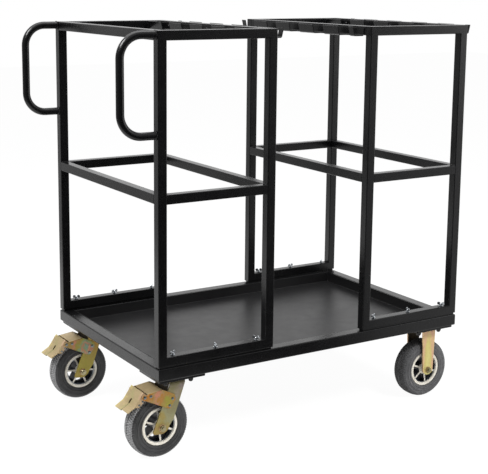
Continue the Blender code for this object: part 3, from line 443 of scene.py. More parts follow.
def chromate(name, base, tints, strength, centre=(0, 0, 0), squash=(1, 1, 1), reach=0.05, blur=0.5,
             rough=0.38, scale=26):
    """Yellow zinc plating: cloudy rainbow rings about a place, rolling marks and small stains."""
    s = Surface(name)
    shift = s.add("Mapping", {"Vector": s.place, "Scale": squash,
                              "Location": [-c * k for c, k in zip(centre, squash)]})["Vector"]
    away = s.add("VectorMath", {0: shift}, operation="LENGTH")["Value"]
    rings = s.maths("DIVIDE", away, reach)
    clouds = s.maths("SUBTRACT", s.noise(scale, 4, roughness=0.6), 0.5)
    place = s.maths("ADD", rings, s.maths("MULTIPLY", clouds, blur * 2))
    rainbow = s.ramp(place, *[(i / (len(tints) - 1), tint) for i, tint in enumerate(tints)])
    amount = s.ramp(s.noise(scale * 0.8, 3), (0.32, strength * 0.5), (0.62, strength))
    colour = s.mix(amount, (*base, 1), rainbow)
    grain = s.ramp(s.noise(190, 4, (1, 0.25, 1), 0.7), (0.3, 0.86), (0.7, 1.04))
    colour = s.mix(1.0, colour, grain, "MULTIPLY")
    stains = s.ramp(s.noise(75, 5, roughness=0.7), (0.64, 0.0), (0.74, 0.35))
    colour = s.mix(stains, colour, (*[c * 0.45 for c in base], 1))
    roughness = s.ramp(s.noise(60, 5), (0.25, rough - 0.06), (0.75, rough + 0.1))
    return s.finish(colour, roughness, s.bump(s.noise(420, 3), 0.00004, 0.5), 0.42)


def plated(name, base, rough):
    """Bright plating with a faint bluish cloud and fine handling marks."""
    s = Surface(name)
    shift = tuple(min(c * 1.12, 1.0) for c in base)
    colour = s.ramp(s.noise(40, 4), (0.3, base), (0.7, shift))
    roughness = s.ramp(s.noise(90, 5), (0.3, rough - 0.05), (0.75, rough + 0.12))
    return s.finish(colour, roughness, s.bump(s.noise(300, 3), 0.00004, 0.5), 1.0)


def cast_paint(name, low, high):
    """Lacquer over a casting, cream on the rim, a little darker in its pores; in near-black it
    paints the shade in the hub's deep faces.
    """
    s = Surface(name)
    colour = s.ramp(s.noise(55, 6, roughness=0.65), (0.25, low), (0.6, high))
    roughness = s.ramp(s.noise(120, 4), (0.3, 0.3), (0.75, 0.48))
    return s.finish(colour, roughness, s.bump(s.noise(260, 5), 0.00012, 0.6), 0.15)


def moulded_rubber(name, low, high, rough):
    """Matt rubber with a dusty bloom and a moulded grain."""
    s = Surface(name)
    colour = s.ramp(s.noise(14, 6, roughness=0.6), (0.3, low), (0.72, high))
    specks = s.ramp(s.noise(230, 3), (0.35, 0.85), (0.7, 1.08))
    roughness = s.ramp(s.noise(70, 4), (0.3, rough - 0.08), (0.7, rough + 0.06))
    colour = s.mix(1.0, colour, specks, "MULTIPLY")
    return s.finish(colour, roughness, s.bump(s.noise(340, 4), 0.0001, 0.55))


BEIGE = (0.60, 0.46, 0.25)
FERN = (0.44, 0.41, 0.18)
SAND = (0.53, 0.41, 0.22)
OLIVE = (0.40, 0.30, 0.065)
SAGE = (0.29, 0.26, 0.13)
BLUSH = (0.68, 0.43, 0.29)
LILAC = (0.38, 0.31, 0.29)
MEADOW = (0.36, 0.35, 0.20)
BRONZE = (0.42, 0.25, 0.08)
RUST = (0.44, 0.27, 0.15)
PEACH = (0.88, 0.55, 0.34)
PINK = (0.88, 0.48, 0.37)
ROSE = (0.64, 0.24, 0.16)
MOSS = (0.36, 0.34, 0.05)
LIME = (0.92, 0.86, 0.34)
TEAL = (0.19, 0.36, 0.26)
AMBER = (0.50, 0.20, 0.035)
STRAW = (0.80, 0.68, 0.24)

MATERIALS = {
    "coat": powder_coat(
        "satin_black_coat", (0.0026, 0.0026, 0.0029), (0.0046, 0.0046, 0.0050), 0.25),
    "tray": powder_coat(
        "tray_black_coat", (0.0085, 0.0085, 0.0090), (0.0105, 0.0105, 0.0110), 0.37),
    "black_zinc": powder_coat(
        "black_fastener", (0.0080, 0.0080, 0.0090), (0.0160, 0.0160, 0.0170), 0.32),
    "pale_gold": chromate(
        "pale_yellow_zinc", SAND, (BLUSH, SAND, SAND, FERN, SAND, STRAW), 0.75,
        (0, -0.045, 0), (0.4, 1, 0.4), 0.09),
    # Painted shade: a near-black yellow zinc on the swivel plates, the pedal links and the faces
    # inside straps and pedals.
    "painted_shade_gold": chromate(
        "yellow_zinc_painted_shade", (0.055, 0.038, 0.014), (AMBER, (0.03, 0.02, 0.01)), 0.35),
    "nut_zinc": plated("nut_yellow_zinc", (0.36, 0.32, 0.19), 0.26),
    "roof_gold": chromate("roof_yellow_zinc", BEIGE, (SAND, BEIGE, OLIVE, BEIGE), 0.5, reach=0.2),
    "front_fork": chromate(
        "front_fork_zinc", SAGE, (LILAC, SAGE, SAGE, MEADOW, OLIVE, BRONZE, OLIVE), 0.8,
        (0.005, 0, 0.22), (1, 0.1, 1), 0.18),
    "back_fork": chromate(
        "back_fork_zinc", OLIVE, (AMBER, OLIVE, MOSS, OLIVE), 0.6,
        (0, 0, 0.21), (1, 0.1, 1), 0.14),
    "front_cheek": chromate(
        "front_housing_zinc", OLIVE, (MOSS, MOSS, BRONZE, AMBER, RUST, ROSE, RUST, AMBER), 0.95,
        (-0.036, 0, 0.192), (1, 0.1, 1), 0.068, 0.5, scale=60),
    "back_cheek": chromate(
        "back_housing_zinc", OLIVE, (TEAL, TEAL, ROSE, TEAL, MOSS, BRONZE, ROSE, BRONZE), 0.95,
        (-0.044, 0, 0.190), (1, 0.1, 1), 0.062, 0.42, scale=52),
    "peach_gold": chromate(
        "peach_yellow_zinc", STRAW, (LIME, LIME, STRAW, PINK, PEACH), 0.85,
        (0, 0, 0.08), (1, 0.05, 0.12), 0.030, 0.35, 0.34),
    "bright_zinc": plated("bright_zinc_plating", (0.66, 0.69, 0.72), 0.24),
    # Painted shade: the rim's lining is darker plating that stands in for the shade inside the
    # wheel.
    "lining": plated("rim_lining_zinc_painted_shade", (0.34, 0.38, 0.42), 0.28),
    "rivet": plated("dull_rivet_zinc", (0.22, 0.25, 0.25), 0.30),
    "cream": cast_paint("cream_cast_rim", (0.80, 0.74, 0.62), (0.94, 0.90, 0.80)),
    # Painted shade: near-black on the hub's deep faces.
    "recess_painted_shade": cast_paint("hub_recess_painted_shade", (0.020, 0.020, 0.024), (0.060, 0.060, 0.068)),
    # Lit and shaded copies of one rubber: the left tyres' tread is pale with dust and painted
    # light, and their sidewalls are darkened as painted shade; the right tyres' sidewalls are
    # lightened as painted light, and their tread is darkened as painted shade.
    "left_sidewall": moulded_rubber(
        "left_tyre_sidewall_painted_shade", (0.036, 0.036, 0.037), (0.075, 0.075, 0.077), 0.58),
    "left_tread": moulded_rubber("left_tyre_tread_dust_and_painted_light", (0.24, 0.24, 0.245), (0.48, 0.48, 0.485), 0.8),
    "right_sidewall": moulded_rubber(
        "right_tyre_sidewall_painted_light", (0.090, 0.090, 0.093), (0.160, 0.160, 0.165), 0.6),
    "right_tread": moulded_rubber(
        "right_tyre_tread_painted_shade", (0.060, 0.060, 0.061), (0.150, 0.150, 0.153), 0.8),
}


def place(name, mesh, finish, body, location=(0, 0, 0), turn=(0, 0, 0), edge=0.0, stands_for=(),
          second=None):
    """One piece in its place, on its body, in place of the frame's solids that it stands for.

    A second finish, where there is one, goes on the faces that its rule chooses."""
    item = add_object(name, mesh)
    item.location = location
    item.rotation_euler = [math.radians(angle) for angle in turn]
    finishes = (finish, second[0]) if second else (finish,)
    if not mesh.materials:
        for _ in finishes:
            mesh.materials.append(None)
        for face in mesh.polygons if second else ():
            face.material_index = 1 if second[1](face) else 0
    for slot, chosen in zip(item.material_slots, finishes):
        slot.link = "OBJECT"
        slot.material = MATERIALS[chosen]
    if edge:
        bevel = item.modifiers.new("edges", "BEVEL")
        bevel.width = edge
        bevel.segments = 2
        bevel.limit_method = "ANGLE"
        bevel.angle_limit = math.radians(BEVEL_ANGLE)
    flats = item.modifiers.new("flats", "WEIGHTED_NORMAL")
    flats.keep_sharp = True
    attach(item, body)
    if stands_for:
        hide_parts(*stands_for)


def dress(node, kind, mesh, finish, *where, **looks):
    """The piece that stands for a node of the frame, on the node's own body."""
    place(f"{node}_{kind}", mesh, finish, BODY_OF[node], *where, stands_for=[node], **looks)


class Extents:
    """Lowest corner, highest corner, middle and size of a node of the frame."""

    def __init__(self, node):
        self.low, self.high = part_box(node)
        self.middle = (self.low + self.high) / 2
        self.size = self.high - self.low


# Base and tray

def build_base():
    base = Extents("base_frame")
    place("base_tubes", mitred_frame(*base.size, BASE_CORNER), "coat", "cart", base.middle,
          (90, 0, 0), stands_for=["base_frame"])

    low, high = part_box("tray_pan")
    bend = (TRAY_BEND, low.z + TRAY_BEND)
    inner_corner = TRAY_CORNER - TRAY_SHEET
    levels = [(*point, TRAY_CORNER) for point in arc(bend, TRAY_BEND, 270, 180, 4)]
    levels += [(0, high.z, TRAY_CORNER), (TRAY_SHEET, high.z, inner_corner)]
    levels += [(*point, inner_corner) for point in arc(bend, TRAY_BEND - TRAY_SHEET, 180, 270, 4)]
    rings = [[(a, b, z) for a, b in footprint("tray_pan", corner, inset)]
             for inset, z, corner in levels]
    place("tray_sheet", skin(rings), "tray", "cart", stands_for=["tray_pan"])


def cap_nut_mesh(top, bottom):
    """A stud's capped nut that hangs down: washer, hexagon and a round cap."""
    height = top - bottom
    shoulder = top - height * 0.6
    radius = CAP_NUT_RADIUS * 0.94
    across = CAP_NUT_RADIUS / math.cos(math.pi / 6) * 0.98
    cap = [(radius, top - height / 2 + JOIN_DEPTH), (radius, shoulder)]
    cap += [(radius * c, shoulder - height * 0.38 * s) for c, s in arc((0, 0), 1, 15, 82, 5)]
    return together(rod(across, top, top - height / 2, "Z", 6), turned(cap, "Z", 32),
                    rod(CAP_NUT_RADIUS * 1.25, top, top - 1.2 * MM, "Z", 32))


def build_mount_plate(side, end, caster_top, caster):
    """The plate under a corner, with its capped nuts below the caster's own plate."""
    node = f"mount_plate_{side}_{end}"
    low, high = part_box(node)
    plate = prism(footprint(node, PLATE_CORNER, steps=5), "Z", caster_top + SEAT_GAP, high.z)
    dress(node, "steel", plate, "coat", edge=THICK_EDGE)
    nuts = [moved(cap_nut_mesh(caster_top - SHEET - SEAT_GAP, low.z), caster.x + x, caster.y + y)
            for x in (-STUD_X, STUD_X) for y in (-STUD_Y, STUD_Y)]
    place(f"cap_nuts_{side}_{end}", together(*nuts), "black_zinc", "cart")


# Racks

def build_rack(side):
    """Front and back frames, side rails and the weld beads between them."""
    beads = []
    rail_low, rail_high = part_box(f"rack_{side}_outer_middle_rail")
    tube = rail_high.z - rail_low.z
    for row in ("front", "back"):
        node = f"rack_{side}_{row}_frame"
        outside = Extents(node)
        x, y, z = outside.middle
        ring = mitred_frame(outside.size.x, outside.size.z - FOOT_STRIP, tube, TUBE_CORNER)
        moved(ring, x, y, z + FOOT_STRIP / 2)
        reach = outside.size.x / 2 - tube + JOIN_DEPTH
        section = rounded(y - tube / 2, y + tube / 2, rail_low.z, rail_high.z, TUBE_CORNER)
        rail = prism(section, "X", x - reach, x + reach)
        foot = prism(footprint(node, FOOT_STRIP_CORNER, FOOT_STRIP_INSET, 2), "Z",
                     outside.low.z, outside.low.z + FOOT_STRIP + JOIN_DEPTH)
        dress(node, "tubes", join(ring, rail, foot), "coat")
        edge = tube / 2 - TUBE_CORNER
        beads += [weld((post, y - edge, level), (post, y + edge, level))
                  for post in (outside.low.x + tube, outside.high.x - tube)
                  for level in (rail_low.z, rail_high.z)]
    for label in ("outer_top", "outer_middle", "inner_top", "inner_middle"):
        node = f"rack_{side}_{label}_rail"
        low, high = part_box(node)
        section = rounded(low.x, high.x, low.z, high.z, TUBE_CORNER)
        dress(node, "tube", prism(section, "Y", low.y, high.y), "coat")
        beads += [weld((low.x + TUBE_CORNER, y, level), (high.x - TUBE_CORNER, y, level))
                  for y in (low.y, high.y)
                  for level in ((low.z, high.z) if "middle" in label else (low.z,))]
    place(f"weld_beads_{side}_rack", together(*beads), "coat", "cart")


# Comb strips

def comb_mesh(slot_count, length, top_reach, drop):
    """A bent channel beside a rail, with slots through its outer flange and its floor."""
    lean = math.atan2(top_reach - COMB_FLOOR_REACH, drop)
    lean_x = math.sin(lean)
    lean_z = math.cos(lean)
    lean = math.degrees(lean)
    bend = COMB_BEND + COMB_SHEET
    inner = (SEAT_GAP + bend, bend - drop)
    outer = (top_reach + ((bend - drop) * lean_x - bend) / lean_z, bend - drop)
    lip = (top_reach - COMB_LIP_DROP * lean_x, -COMB_LIP_DROP * lean_z)
    outline = [(SEAT_GAP, -COMB_BACK_TOP)]
    outline += arc(inner, bend, 180, 270, 7)
    outline += arc(outer, bend, -90, -lean, 7)
    outline += [lip, (lip[0] - COMB_SHEET * lean_z, lip[1] + COMB_SHEET * lean_x)]
    outline += arc(outer, COMB_BEND, -lean, -90, 7)
    outline += arc(inner, COMB_BEND, 270, 180, 7)
    outline += [(SEAT_GAP + COMB_SHEET, -COMB_BACK_TOP)]
    strip = prism(outline, "Y", -length / 2, length / 2)
    root = COMB_SLOT_ROOT
    root_x = SEAT_GAP + bend + COMB_BEND + root
    for i in range(slot_count):
        middle = (i - (slot_count - 1) / 2) * COMB_PITCH
        low = middle - COMB_SLOT / 2
        high = middle + COMB_SLOT / 2
        slot = arc((root_x, low + root), root, 270, 180, 5)
        slot += arc((root_x, high - root), root, 180, 90, 5)
        slot += [(top_reach * 2, high), (top_reach * 2, low)]
        strip = cut(strip, prism(slot, "Z", -drop - COMB_SHEET, 2 * COMB_SHEET))
    return strip


def screw_mesh():
    """A button head with its hexagon socket, on the inner face of a comb's back flange."""
    seat = SEAT_GAP + COMB_SHEET
    radius, low, high = SCREW_SOCKET
    return cut(dome(*SCREW_HEAD, "X", 1, seat, 28), rod(radius, seat + low, seat + high, "X", 6))


def build_combs():
    screw = screw_mesh()
    meshes = {}
    for side, label, slots, faces_back in COMBS:
        node = f"comb_{side}_rack_{label}"
        comb = Extents(node)
        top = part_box(f"rack_{side}_outer_top_rail")[1].z
        if slots not in meshes:
            meshes[slots] = comb_mesh(slots, comb.size.y, comb.size.x + SEAT_GAP, top - comb.low.z)
        rail_x = comb.high.x + SEAT_GAP if faces_back else comb.low.x - SEAT_GAP
        turn = (0, 0, 180 if faces_back else 0)
        dress(node, "strip", meshes[slots], "coat", (rail_x, 0, top), turn, edge=EDGE)
        for i, y in enumerate(COMB_SCREW_PLACES):
            place(f"screw_{side}_{label}_{i + 1}", screw, "black_zinc", "cart",
                  (rail_x, y, top - COMB_SCREW_DROP), turn, edge=SCREW_EDGE)


# Push handles

def build_handles():
    for side in ("front", "back"):
        node = f"handle_{side}"
        handle = Extents(node)
        radius = handle.size.y / 2 - HANDLE_WELD_RISE
        top = handle.high.z - HANDLE_WELD_RISE - radius
        low = handle.low.z + HANDLE_WELD_RISE + radius
        post_x = handle.high.x
        bend_x = handle.low.x + radius + HANDLE_BEND
        path = [(post_x, top)]
        path += arc((bend_x, top - HANDLE_BEND), HANDLE_BEND, 90, 180, 14)
        path += arc((bend_x, low + HANDLE_BEND), HANDLE_BEND, 180, 270, 14)
        path += [(post_x, low)]
        y = handle.middle.y
        tube = swept([(x, y, z) for x, z in path], [radius] * len(path), HANDLE_SIDES)
        dress(node, "tube", tube, "coat")
        beads = [weld_ring(post_x, y, z, radius) for z in (top, low)]
        place(f"weld_beads_{node}", together(*beads), "coat", "cart")


# Wing bolts

def wing_bolt_mesh():
    """Washer, cone boss and two rounded ears; the origin is on its axis, at the sill's top."""
    washer_top = SEAT_GAP + WASHER_THICKNESS
    boss_top = washer_top + WING_HEIGHT / 2
    radius = WING_BOSS_RADIUS
    washer = rod(WASHER_RADIUS, SEAT_GAP, washer_top, "Z", 40)
    boss = [(radius, washer_top - JOIN_DEPTH), (radius, washer_top + 2.4 * MM)]
    boss += arc((radius * 0.3, boss_top - 1.6 * MM), 2.6 * MM, 10, 80, 4)
    ear = WING_EAR_RADIUS
    right = [(0, washer_top + 1.2 * MM), (radius * 0.8, washer_top + 1.6 * MM)]
    right += arc((WING_REACH - ear, washer_top + WING_HEIGHT - ear), ear, -55, 160, 12)
    right += [(radius * 0.72, boss_top + 0.6 * MM), (0, boss_top - 0.8 * MM)]
    left = [(-x, z) for x, z in reversed(right[1:-1])]
    wings = prism(right + left, "Y", -WING_THICKNESS / 2, WING_THICKNESS / 2)
    return join(washer, turned(boss, "Z", 40), wings)


def build_wing_bolts():
    mesh = wing_bolt_mesh()
    for side in ("left", "right"):
        for row, turns in WING_TURNS.items():
            for i, turn in enumerate(turns):
                node = f"wing_bolt_{side}_{row}_{i + 1}"
                dress(node, "zinc", mesh, "bright_zinc", JOINTS[f"{node}_turn"], (0, 0, turn),
                      edge=EDGE)


# Wheels

def tyre_profile():
    """Half of the section from the bead to the crown: (radius, half width, row of the tread)."""
    wall = TYRE_RADIUS - RIM_RADIUS
    seat = RIM_HALF - RIM_FLANGE - 0.3 * MM
    points = [(RIM_SEAT + 0.4 * MM, seat, None), (RIM_RADIUS + 0.8 * MM, seat, None),
              (RIM_RADIUS + 1.6 * MM, RIM_HALF - 1.2 * MM, None)]
    for i in range(WALL_STEPS + 1):
        share = WALL_START + WALL_RISE * i / WALL_STEPS
        bulge = math.cos(math.pi * (share - 0.42) * 0.85)
        width = TYRE_HALF * (0.93 + 0.07 * bulge) * (0.90 + 0.10 * bulge) + WALL_RINGS.get(i, 0.0)
        points.append((RIM_RADIUS + wall * share, width, None))
    for share, width, row in TREAD:
        sunk = TREAD_CUT / 2 if row == "groove" else 0.0
        points.append((RIM_RADIUS + wall * share - sunk, TYRE_HALF * width, row))
    return points


def tyre_mesh():
    """The carcass with its rings and the blocks across its tread, about Y."""
    half = tyre_profile()
    section = half + [(r, -y, row) for r, y, row in reversed(half[:-1])]
    rings = []
    for i, angle in enumerate(around(TREAD_BLOCKS * BLOCK_STEPS, 0.5)):
        ring = []
        for r, y, row in section:
            if isinstance(row, int) and (i + row * 2 + (3 if y < 0 else 0)) % BLOCK_STEPS < 2:
                r -= TREAD_CUT
            ring.append((r * math.cos(angle), y, r * math.sin(angle)))
        rings.append(ring)
    return skin(rings, closed=True)


def on_tread_block(face):
    """True for the tread's raised faces, which take the tread's finish: pale with dust and painted
    light on the left wheels, dark with painted shade on the right; the cuts and the shoulder keep
    the sidewall's finish.
    """
    x, y, z = face.center
    reach = math.hypot(x, z)
    radial = (face.normal.x * x + face.normal.z * z) / reach
    crown = TYRE_RADIUS - (y / TREAD_SLOPE) ** 2
    return reach > crown - TREAD_CUT * 0.4 and reach > TYRE_RADIUS * 0.945 and radial > 0.2


def spoke_mesh(turn):
    """One thin spoke, deep across the wheel and a little broader at its ends."""
    tip = RIM_INNER + 0.8 * MM
    edge = ((HUB_RADIUS - 3 * MM, 0.7), (tip - 6 * MM, 0.5), (tip, 0.85))
    outline = mirrored([(r, -SPOKE_WIDTH * share) for r, share in edge])
    spoke = prism(outline, "Y", -SPIDER_FACE, SPIDER_FACE)
    spoke.transform(Matrix.Rotation(math.radians(turn), 4, "Y"))
    return spoke


def in_hub_painted_shade(face):
    """True for the faces deep inside the wheel, which take a near-black painted shade."""
    x, y, z = face.center
    inside = abs(y) < SPIDER_FACE - 2 * MM and math.hypot(x, z) < RIM_INNER + 0.1 * MM
    return inside and (abs(face.normal.y) < 0.7 or abs(y) < RIM_LIP_HALF * 2)


def hub_meshes():
    """The casting with its spokes, the lining inside its rim, the bearing's rings and spacers."""
    core = [(HUB_BORE, HUB_HALF), (HUB_NOSE - 1 * MM, HUB_HALF), (HUB_NOSE, HUB_HALF - 1 * MM),
            (HUB_NOSE + 1.5 * MM, SPIDER_FACE + 1 * MM), (HUB_RADIUS, SPIDER_FACE - 0.5 * MM)]
    rim = [(RIM_INNER - RIM_LIP, RIM_LIP_HALF), (RIM_INNER, RIM_LIP_HALF),
           (RIM_INNER, SPIDER_FACE - 4 * MM), (RIM_INNER + 1.2 * MM, RIM_HALF - 2 * MM),
           (RIM_INNER + 2.6 * MM, RIM_HALF), (RIM_RADIUS - 1.2 * MM, RIM_HALF),
           (RIM_RADIUS, RIM_HALF - 1.2 * MM), (RIM_RADIUS, RIM_HALF - RIM_FLANGE),
           (RIM_SEAT, RIM_HALF - RIM_FLANGE)]
    reach = RIM_HALF - 4 * MM
    lining = [(RIM_INNER - 0.6 * MM, reach), (RIM_INNER + 0.2 * MM, reach)]
    core, rim, lining = [turned(mirrored(half), "Y", 96, closed=True)
                         for half in (core, rim, lining)]
    spokes = [spoke_mesh(360 * i / SPOKE_COUNT) for i in range(SPOKE_COUNT)]
    low, high = HUB_HALF - 0.4 * MM, HUB_HALF + 2.2 * MM
    bearing = [*zip(mm(7, 7, 11, 12.5, 12.5), (low, high, high, HUB_HALF + 0.8 * MM, low))]
    spacer = [*zip(mm(6.4, 6.4, 9.5, 9.5), (high, 38.2 * MM, 38.2 * MM, high))]
    return (join(core, rim, *spokes), lining, together(*turned_pair(bearing, 48, closed=True)),
            together(*turned_pair(spacer, 40, closed=True)))


def build_wheels():
    tyre = tyre_mesh()
    casting, *linings = hub_meshes()
    names = (("lining", "lining"), ("bearings", "bright_zinc"), ("spacers", "pale_gold"))
    for corner, phase in HUB_PHASES.items():
        body = f"wheel_{corner}"
        centre = JOINTS[f"{body}_roll"]
        turn = (0, phase, 0)
        end = corner.split("_")[1]
        # Each side's tyres take that side's copy of the rubber, in which light and shade are
        # painted.
        dress(f"tyre_{corner}", "rubber", tyre, f"{end}_sidewall", centre,
              second=(f"{end}_tread", on_tread_block))
        # The hub's deep faces take a near-black painted shade.
        dress(f"hub_{corner}", "casting", casting, "cream", centre, turn, edge=THICK_EDGE,
              second=("recess_painted_shade", in_hub_painted_shade))
        for mesh, (name, finish) in zip(linings, names):
            place(f"hub_{corner}_{name}", mesh, finish, body, centre, turn)


def axle_mesh(outer):
    """Bolt head, washer, nut and the thread's end past the nut."""
    seat = outer + SEAT_GAP
    end = seat + NUT_HEIGHT
    radius = NUT_ACROSS / 2 / math.cos(math.pi / 6)
    washer_radius, washer = AXLE_WASHER
    chamfer = [(radius * 1.2, seat), (radius * 1.02, end - 2.2 * MM),
               (radius * 0.84, end + 0.2 * MM)]
    parts = []
    for sign, cone in zip((-1, 1), turned_pair(chamfer)):
        hexagon = rod(radius, sign * (seat + 1.4 * MM), sign * end, segments=6)
        parts.append(rod(washer_radius, sign * seat, sign * (seat + washer)))
        parts.append(combine("INTERSECT", hexagon, cone))
    thread = [(AXLE_RADIUS, 1 * MM - end), (AXLE_RADIUS, -end - 2.2 * MM)]
    thread.append((5.2 * MM, -end - 3 * MM))
    return together(*parts, turned(thread, "Y", 32), rod(AXLE_RADIUS, -seat, seat, segments=32))


def build_axle(node, centre, outer):
    washer_face = outer + SEAT_GAP + 1.7 * MM
    dress(node, "zinc", axle_mesh(outer), "pale_gold", centre, edge=NUT_EDGE,
          second=("nut_zinc", lambda face: abs(face.center.y) > washer_face))


# Casters

def bent_strap(outer, low_x, high_x, top, low):
    """A strap bent to an upside-down U over the wheel, extruded along X."""
    inner = outer - SHEET
    left, right = [(y, top - FORK_BEND) for y in (FORK_BEND - outer, outer - FORK_BEND)]
    outline = [(-outer, low), *arc(left, FORK_BEND, 180, 90, 8), *arc(right, FORK_BEND, 90, 0, 8)]
    outline += [(outer, low), (inner, low), *arc(right, FORK_BEND - SHEET, 0, 90, 8)]
    outline += [*arc(left, FORK_BEND - SHEET, 90, 180, 8), (-inner, low)]
    return prism(outline, "X", low_x, high_x)


def in_strap_painted_shade(face):
    """True for the faces between a strap's legs, which take a near-black painted shade."""
    return face.center.y * face.normal.y < -0.005 or face.normal.z < -0.8


def plate_mesh(node):
    """A caster's own plate, about its middle."""
    plate = Extents(node)
    x, y, _ = plate.size / 2
    top = plate.high.z
    return prism(rounded(-x, x, -y, y, PLATE_CORNER, 6), "Z", top - SHEET, top)


def fork_mesh(outer, axle_z, top):
    """Swivel fork: raked legs with a cut heel and a round toe."""
    def leg_edge(rise, end, crown):
        return end - AXLE_TRAIL + (crown - end + AXLE_TRAIL) * (rise / (top - axle_z))

    low = axle_z - FORK_END_DROP
    heel_z = axle_z - FORK_HEEL_DROP
    toe_z = axle_z + FORK_TOE_RISE
    heel_x = leg_edge(-FORK_HEEL_DROP, -FORK_END_REAR, -FORK_CROWN_REAR)
    toe_x = leg_edge(FORK_TOE_RISE, FORK_END_FRONT, FORK_CROWN_FRONT)
    strap = bent_strap(outer, heel_x - SHEET, FORK_CROWN_FRONT + SHEET, top, low - SHEET)
    outline = [(-FORK_CROWN_REAR, top + SHEET), (-FORK_CROWN_REAR, top)]
    outline += [(heel_x, heel_z), (heel_x + FORK_HEEL_CUT, heel_z - FORK_HEEL_CUT)]
    toe = (FORK_TOE_CENTRE - AXLE_TRAIL, low + FORK_TOE_RADIUS)
    outline += arc(toe, FORK_TOE_RADIUS, 270, 345, 14)
    outline += [(toe_x, toe_z), (FORK_CROWN_FRONT, top), (FORK_CROWN_FRONT, top + SHEET)]
    return combine("INTERSECT", strap, prism(outline, "Y", -outer * 2, outer * 2))


def race_mesh(top, plate_low):
    """The ball race over the fork's crown, and the king pin's head below it."""
    low = top + 0.5 * MM
    neck = top - SHEET - 0.5 * MM
    race = [(RACE_RADIUS, plate_low + JOIN_DEPTH), (RACE_RADIUS, low + 3.4 * MM)]
    race += arc((RACE_RADIUS - RACE_ROUND, low + RACE_ROUND), RACE_ROUND, 0, -90, 5)
    race += [(RACE_RADIUS - 12 * MM, low), (8 * MM, low), (8 * MM, neck)]
    race += [(KING_PIN_RADIUS, neck), (KING_PIN_RADIUS, neck - 6 * MM)]
    return turned(race, "Z", 64)


def offset(point, step):
    return (point[0] + step[0], point[1] + step[1])


def folded(mesh, direction, level, width):
    """Round a bent sheet's long outer edges, level along a direction of the XZ plane."""
    bm = bmesh.new()
    bm.from_mesh(mesh)
    edges = []
    for edge in bm.edges:
        ends = [vert.co for vert in edge.verts]
        on_sheet = all(abs(co.x * direction[0] + co.z * direction[1] - level) < 0.01 * MM
                       for co in ends)
        on_side = all(abs(abs(co.y) - width) < 0.01 * MM for co in ends)
        if on_sheet and on_side and ends[0].y * ends[1].y > 0:
            edges.append(edge)
    bmesh.ops.bevel(bm, geom=edges, offset=SHEET_FOLD_RADIUS, segments=4, affect="EDGES",
                    profile=0.5)
    return mesh_of(bm)


def housing_mesh(pin, upper, lower, inner):
    """Brake housing: two cheeks riveted to the fork's legs, and a flat sheet over the tyre."""
    outer = inner + THIN_SHEET
    roof_rear = offset(pin, HOUSING_ROOF_REAR)
    roof_front = offset(pin, HOUSING_ROOF_FRONT)
    outline = [roof_rear, roof_front]
    outline += [offset(upper, step) for step in HOUSING_BROW]
    outline += [offset(lower, step) for step in HOUSING_CHIN]
    outline += arc(pin, HOUSING_NOSE, 235, 130, 12)
    slope = (roof_front[1] - roof_rear[1]) / (roof_front[0] - roof_rear[0])
    level = roof_rear[1] - slope * roof_rear[0]
    shell = folded(prism(outline, "Y", -outer, outer), (-slope, 1), level, outer)
    rear_low = roof_rear[1] - THIN_SHEET
    front_low = rear_low + slope * (roof_front[0] - roof_rear[0])
    hollow = [(-FAR, 0), (FAR, 0), (FAR, FAR), (roof_front[0], FAR), (roof_front[0], front_low)]
    hollow += [(roof_rear[0], rear_low), (roof_rear[0], FAR), (-FAR, FAR)]
    return cut(shell, prism(hollow, "Y", -inner, inner))


def on_slope(angle, start, *steps):
    """Points at steps (along, out) from a start on a sheet that slopes down, in the XZ plane."""
    turn = math.radians(180 + angle)
    along = Vector((math.cos(turn), math.sin(turn)))
    outward = Vector((along.y, -along.x))
    return [tuple(Vector(start) + along * down + outward * out) for down, out in steps]


def on_face(*steps):
    """Points on the pedal's face, from its pivot."""
    return on_slope(PEDAL_FACE_ANGLE, (0, 0), *steps)


def pedal_link_mesh():
    """The plate behind the pedal's slot, which links the face to the shoe bar."""
    half, length, sheet = PEDAL_LINK
    low = PEDAL_FACE_LOW - THIN_SHEET + 2 * MM
    back = PEDAL_FACE_OFFSET - SEAT_GAP
    corners = on_face((low, back), (low - length, back), (low - length, back - sheet),
                      (low, back - sheet))
    return prism(corners, "Y", -half, half)


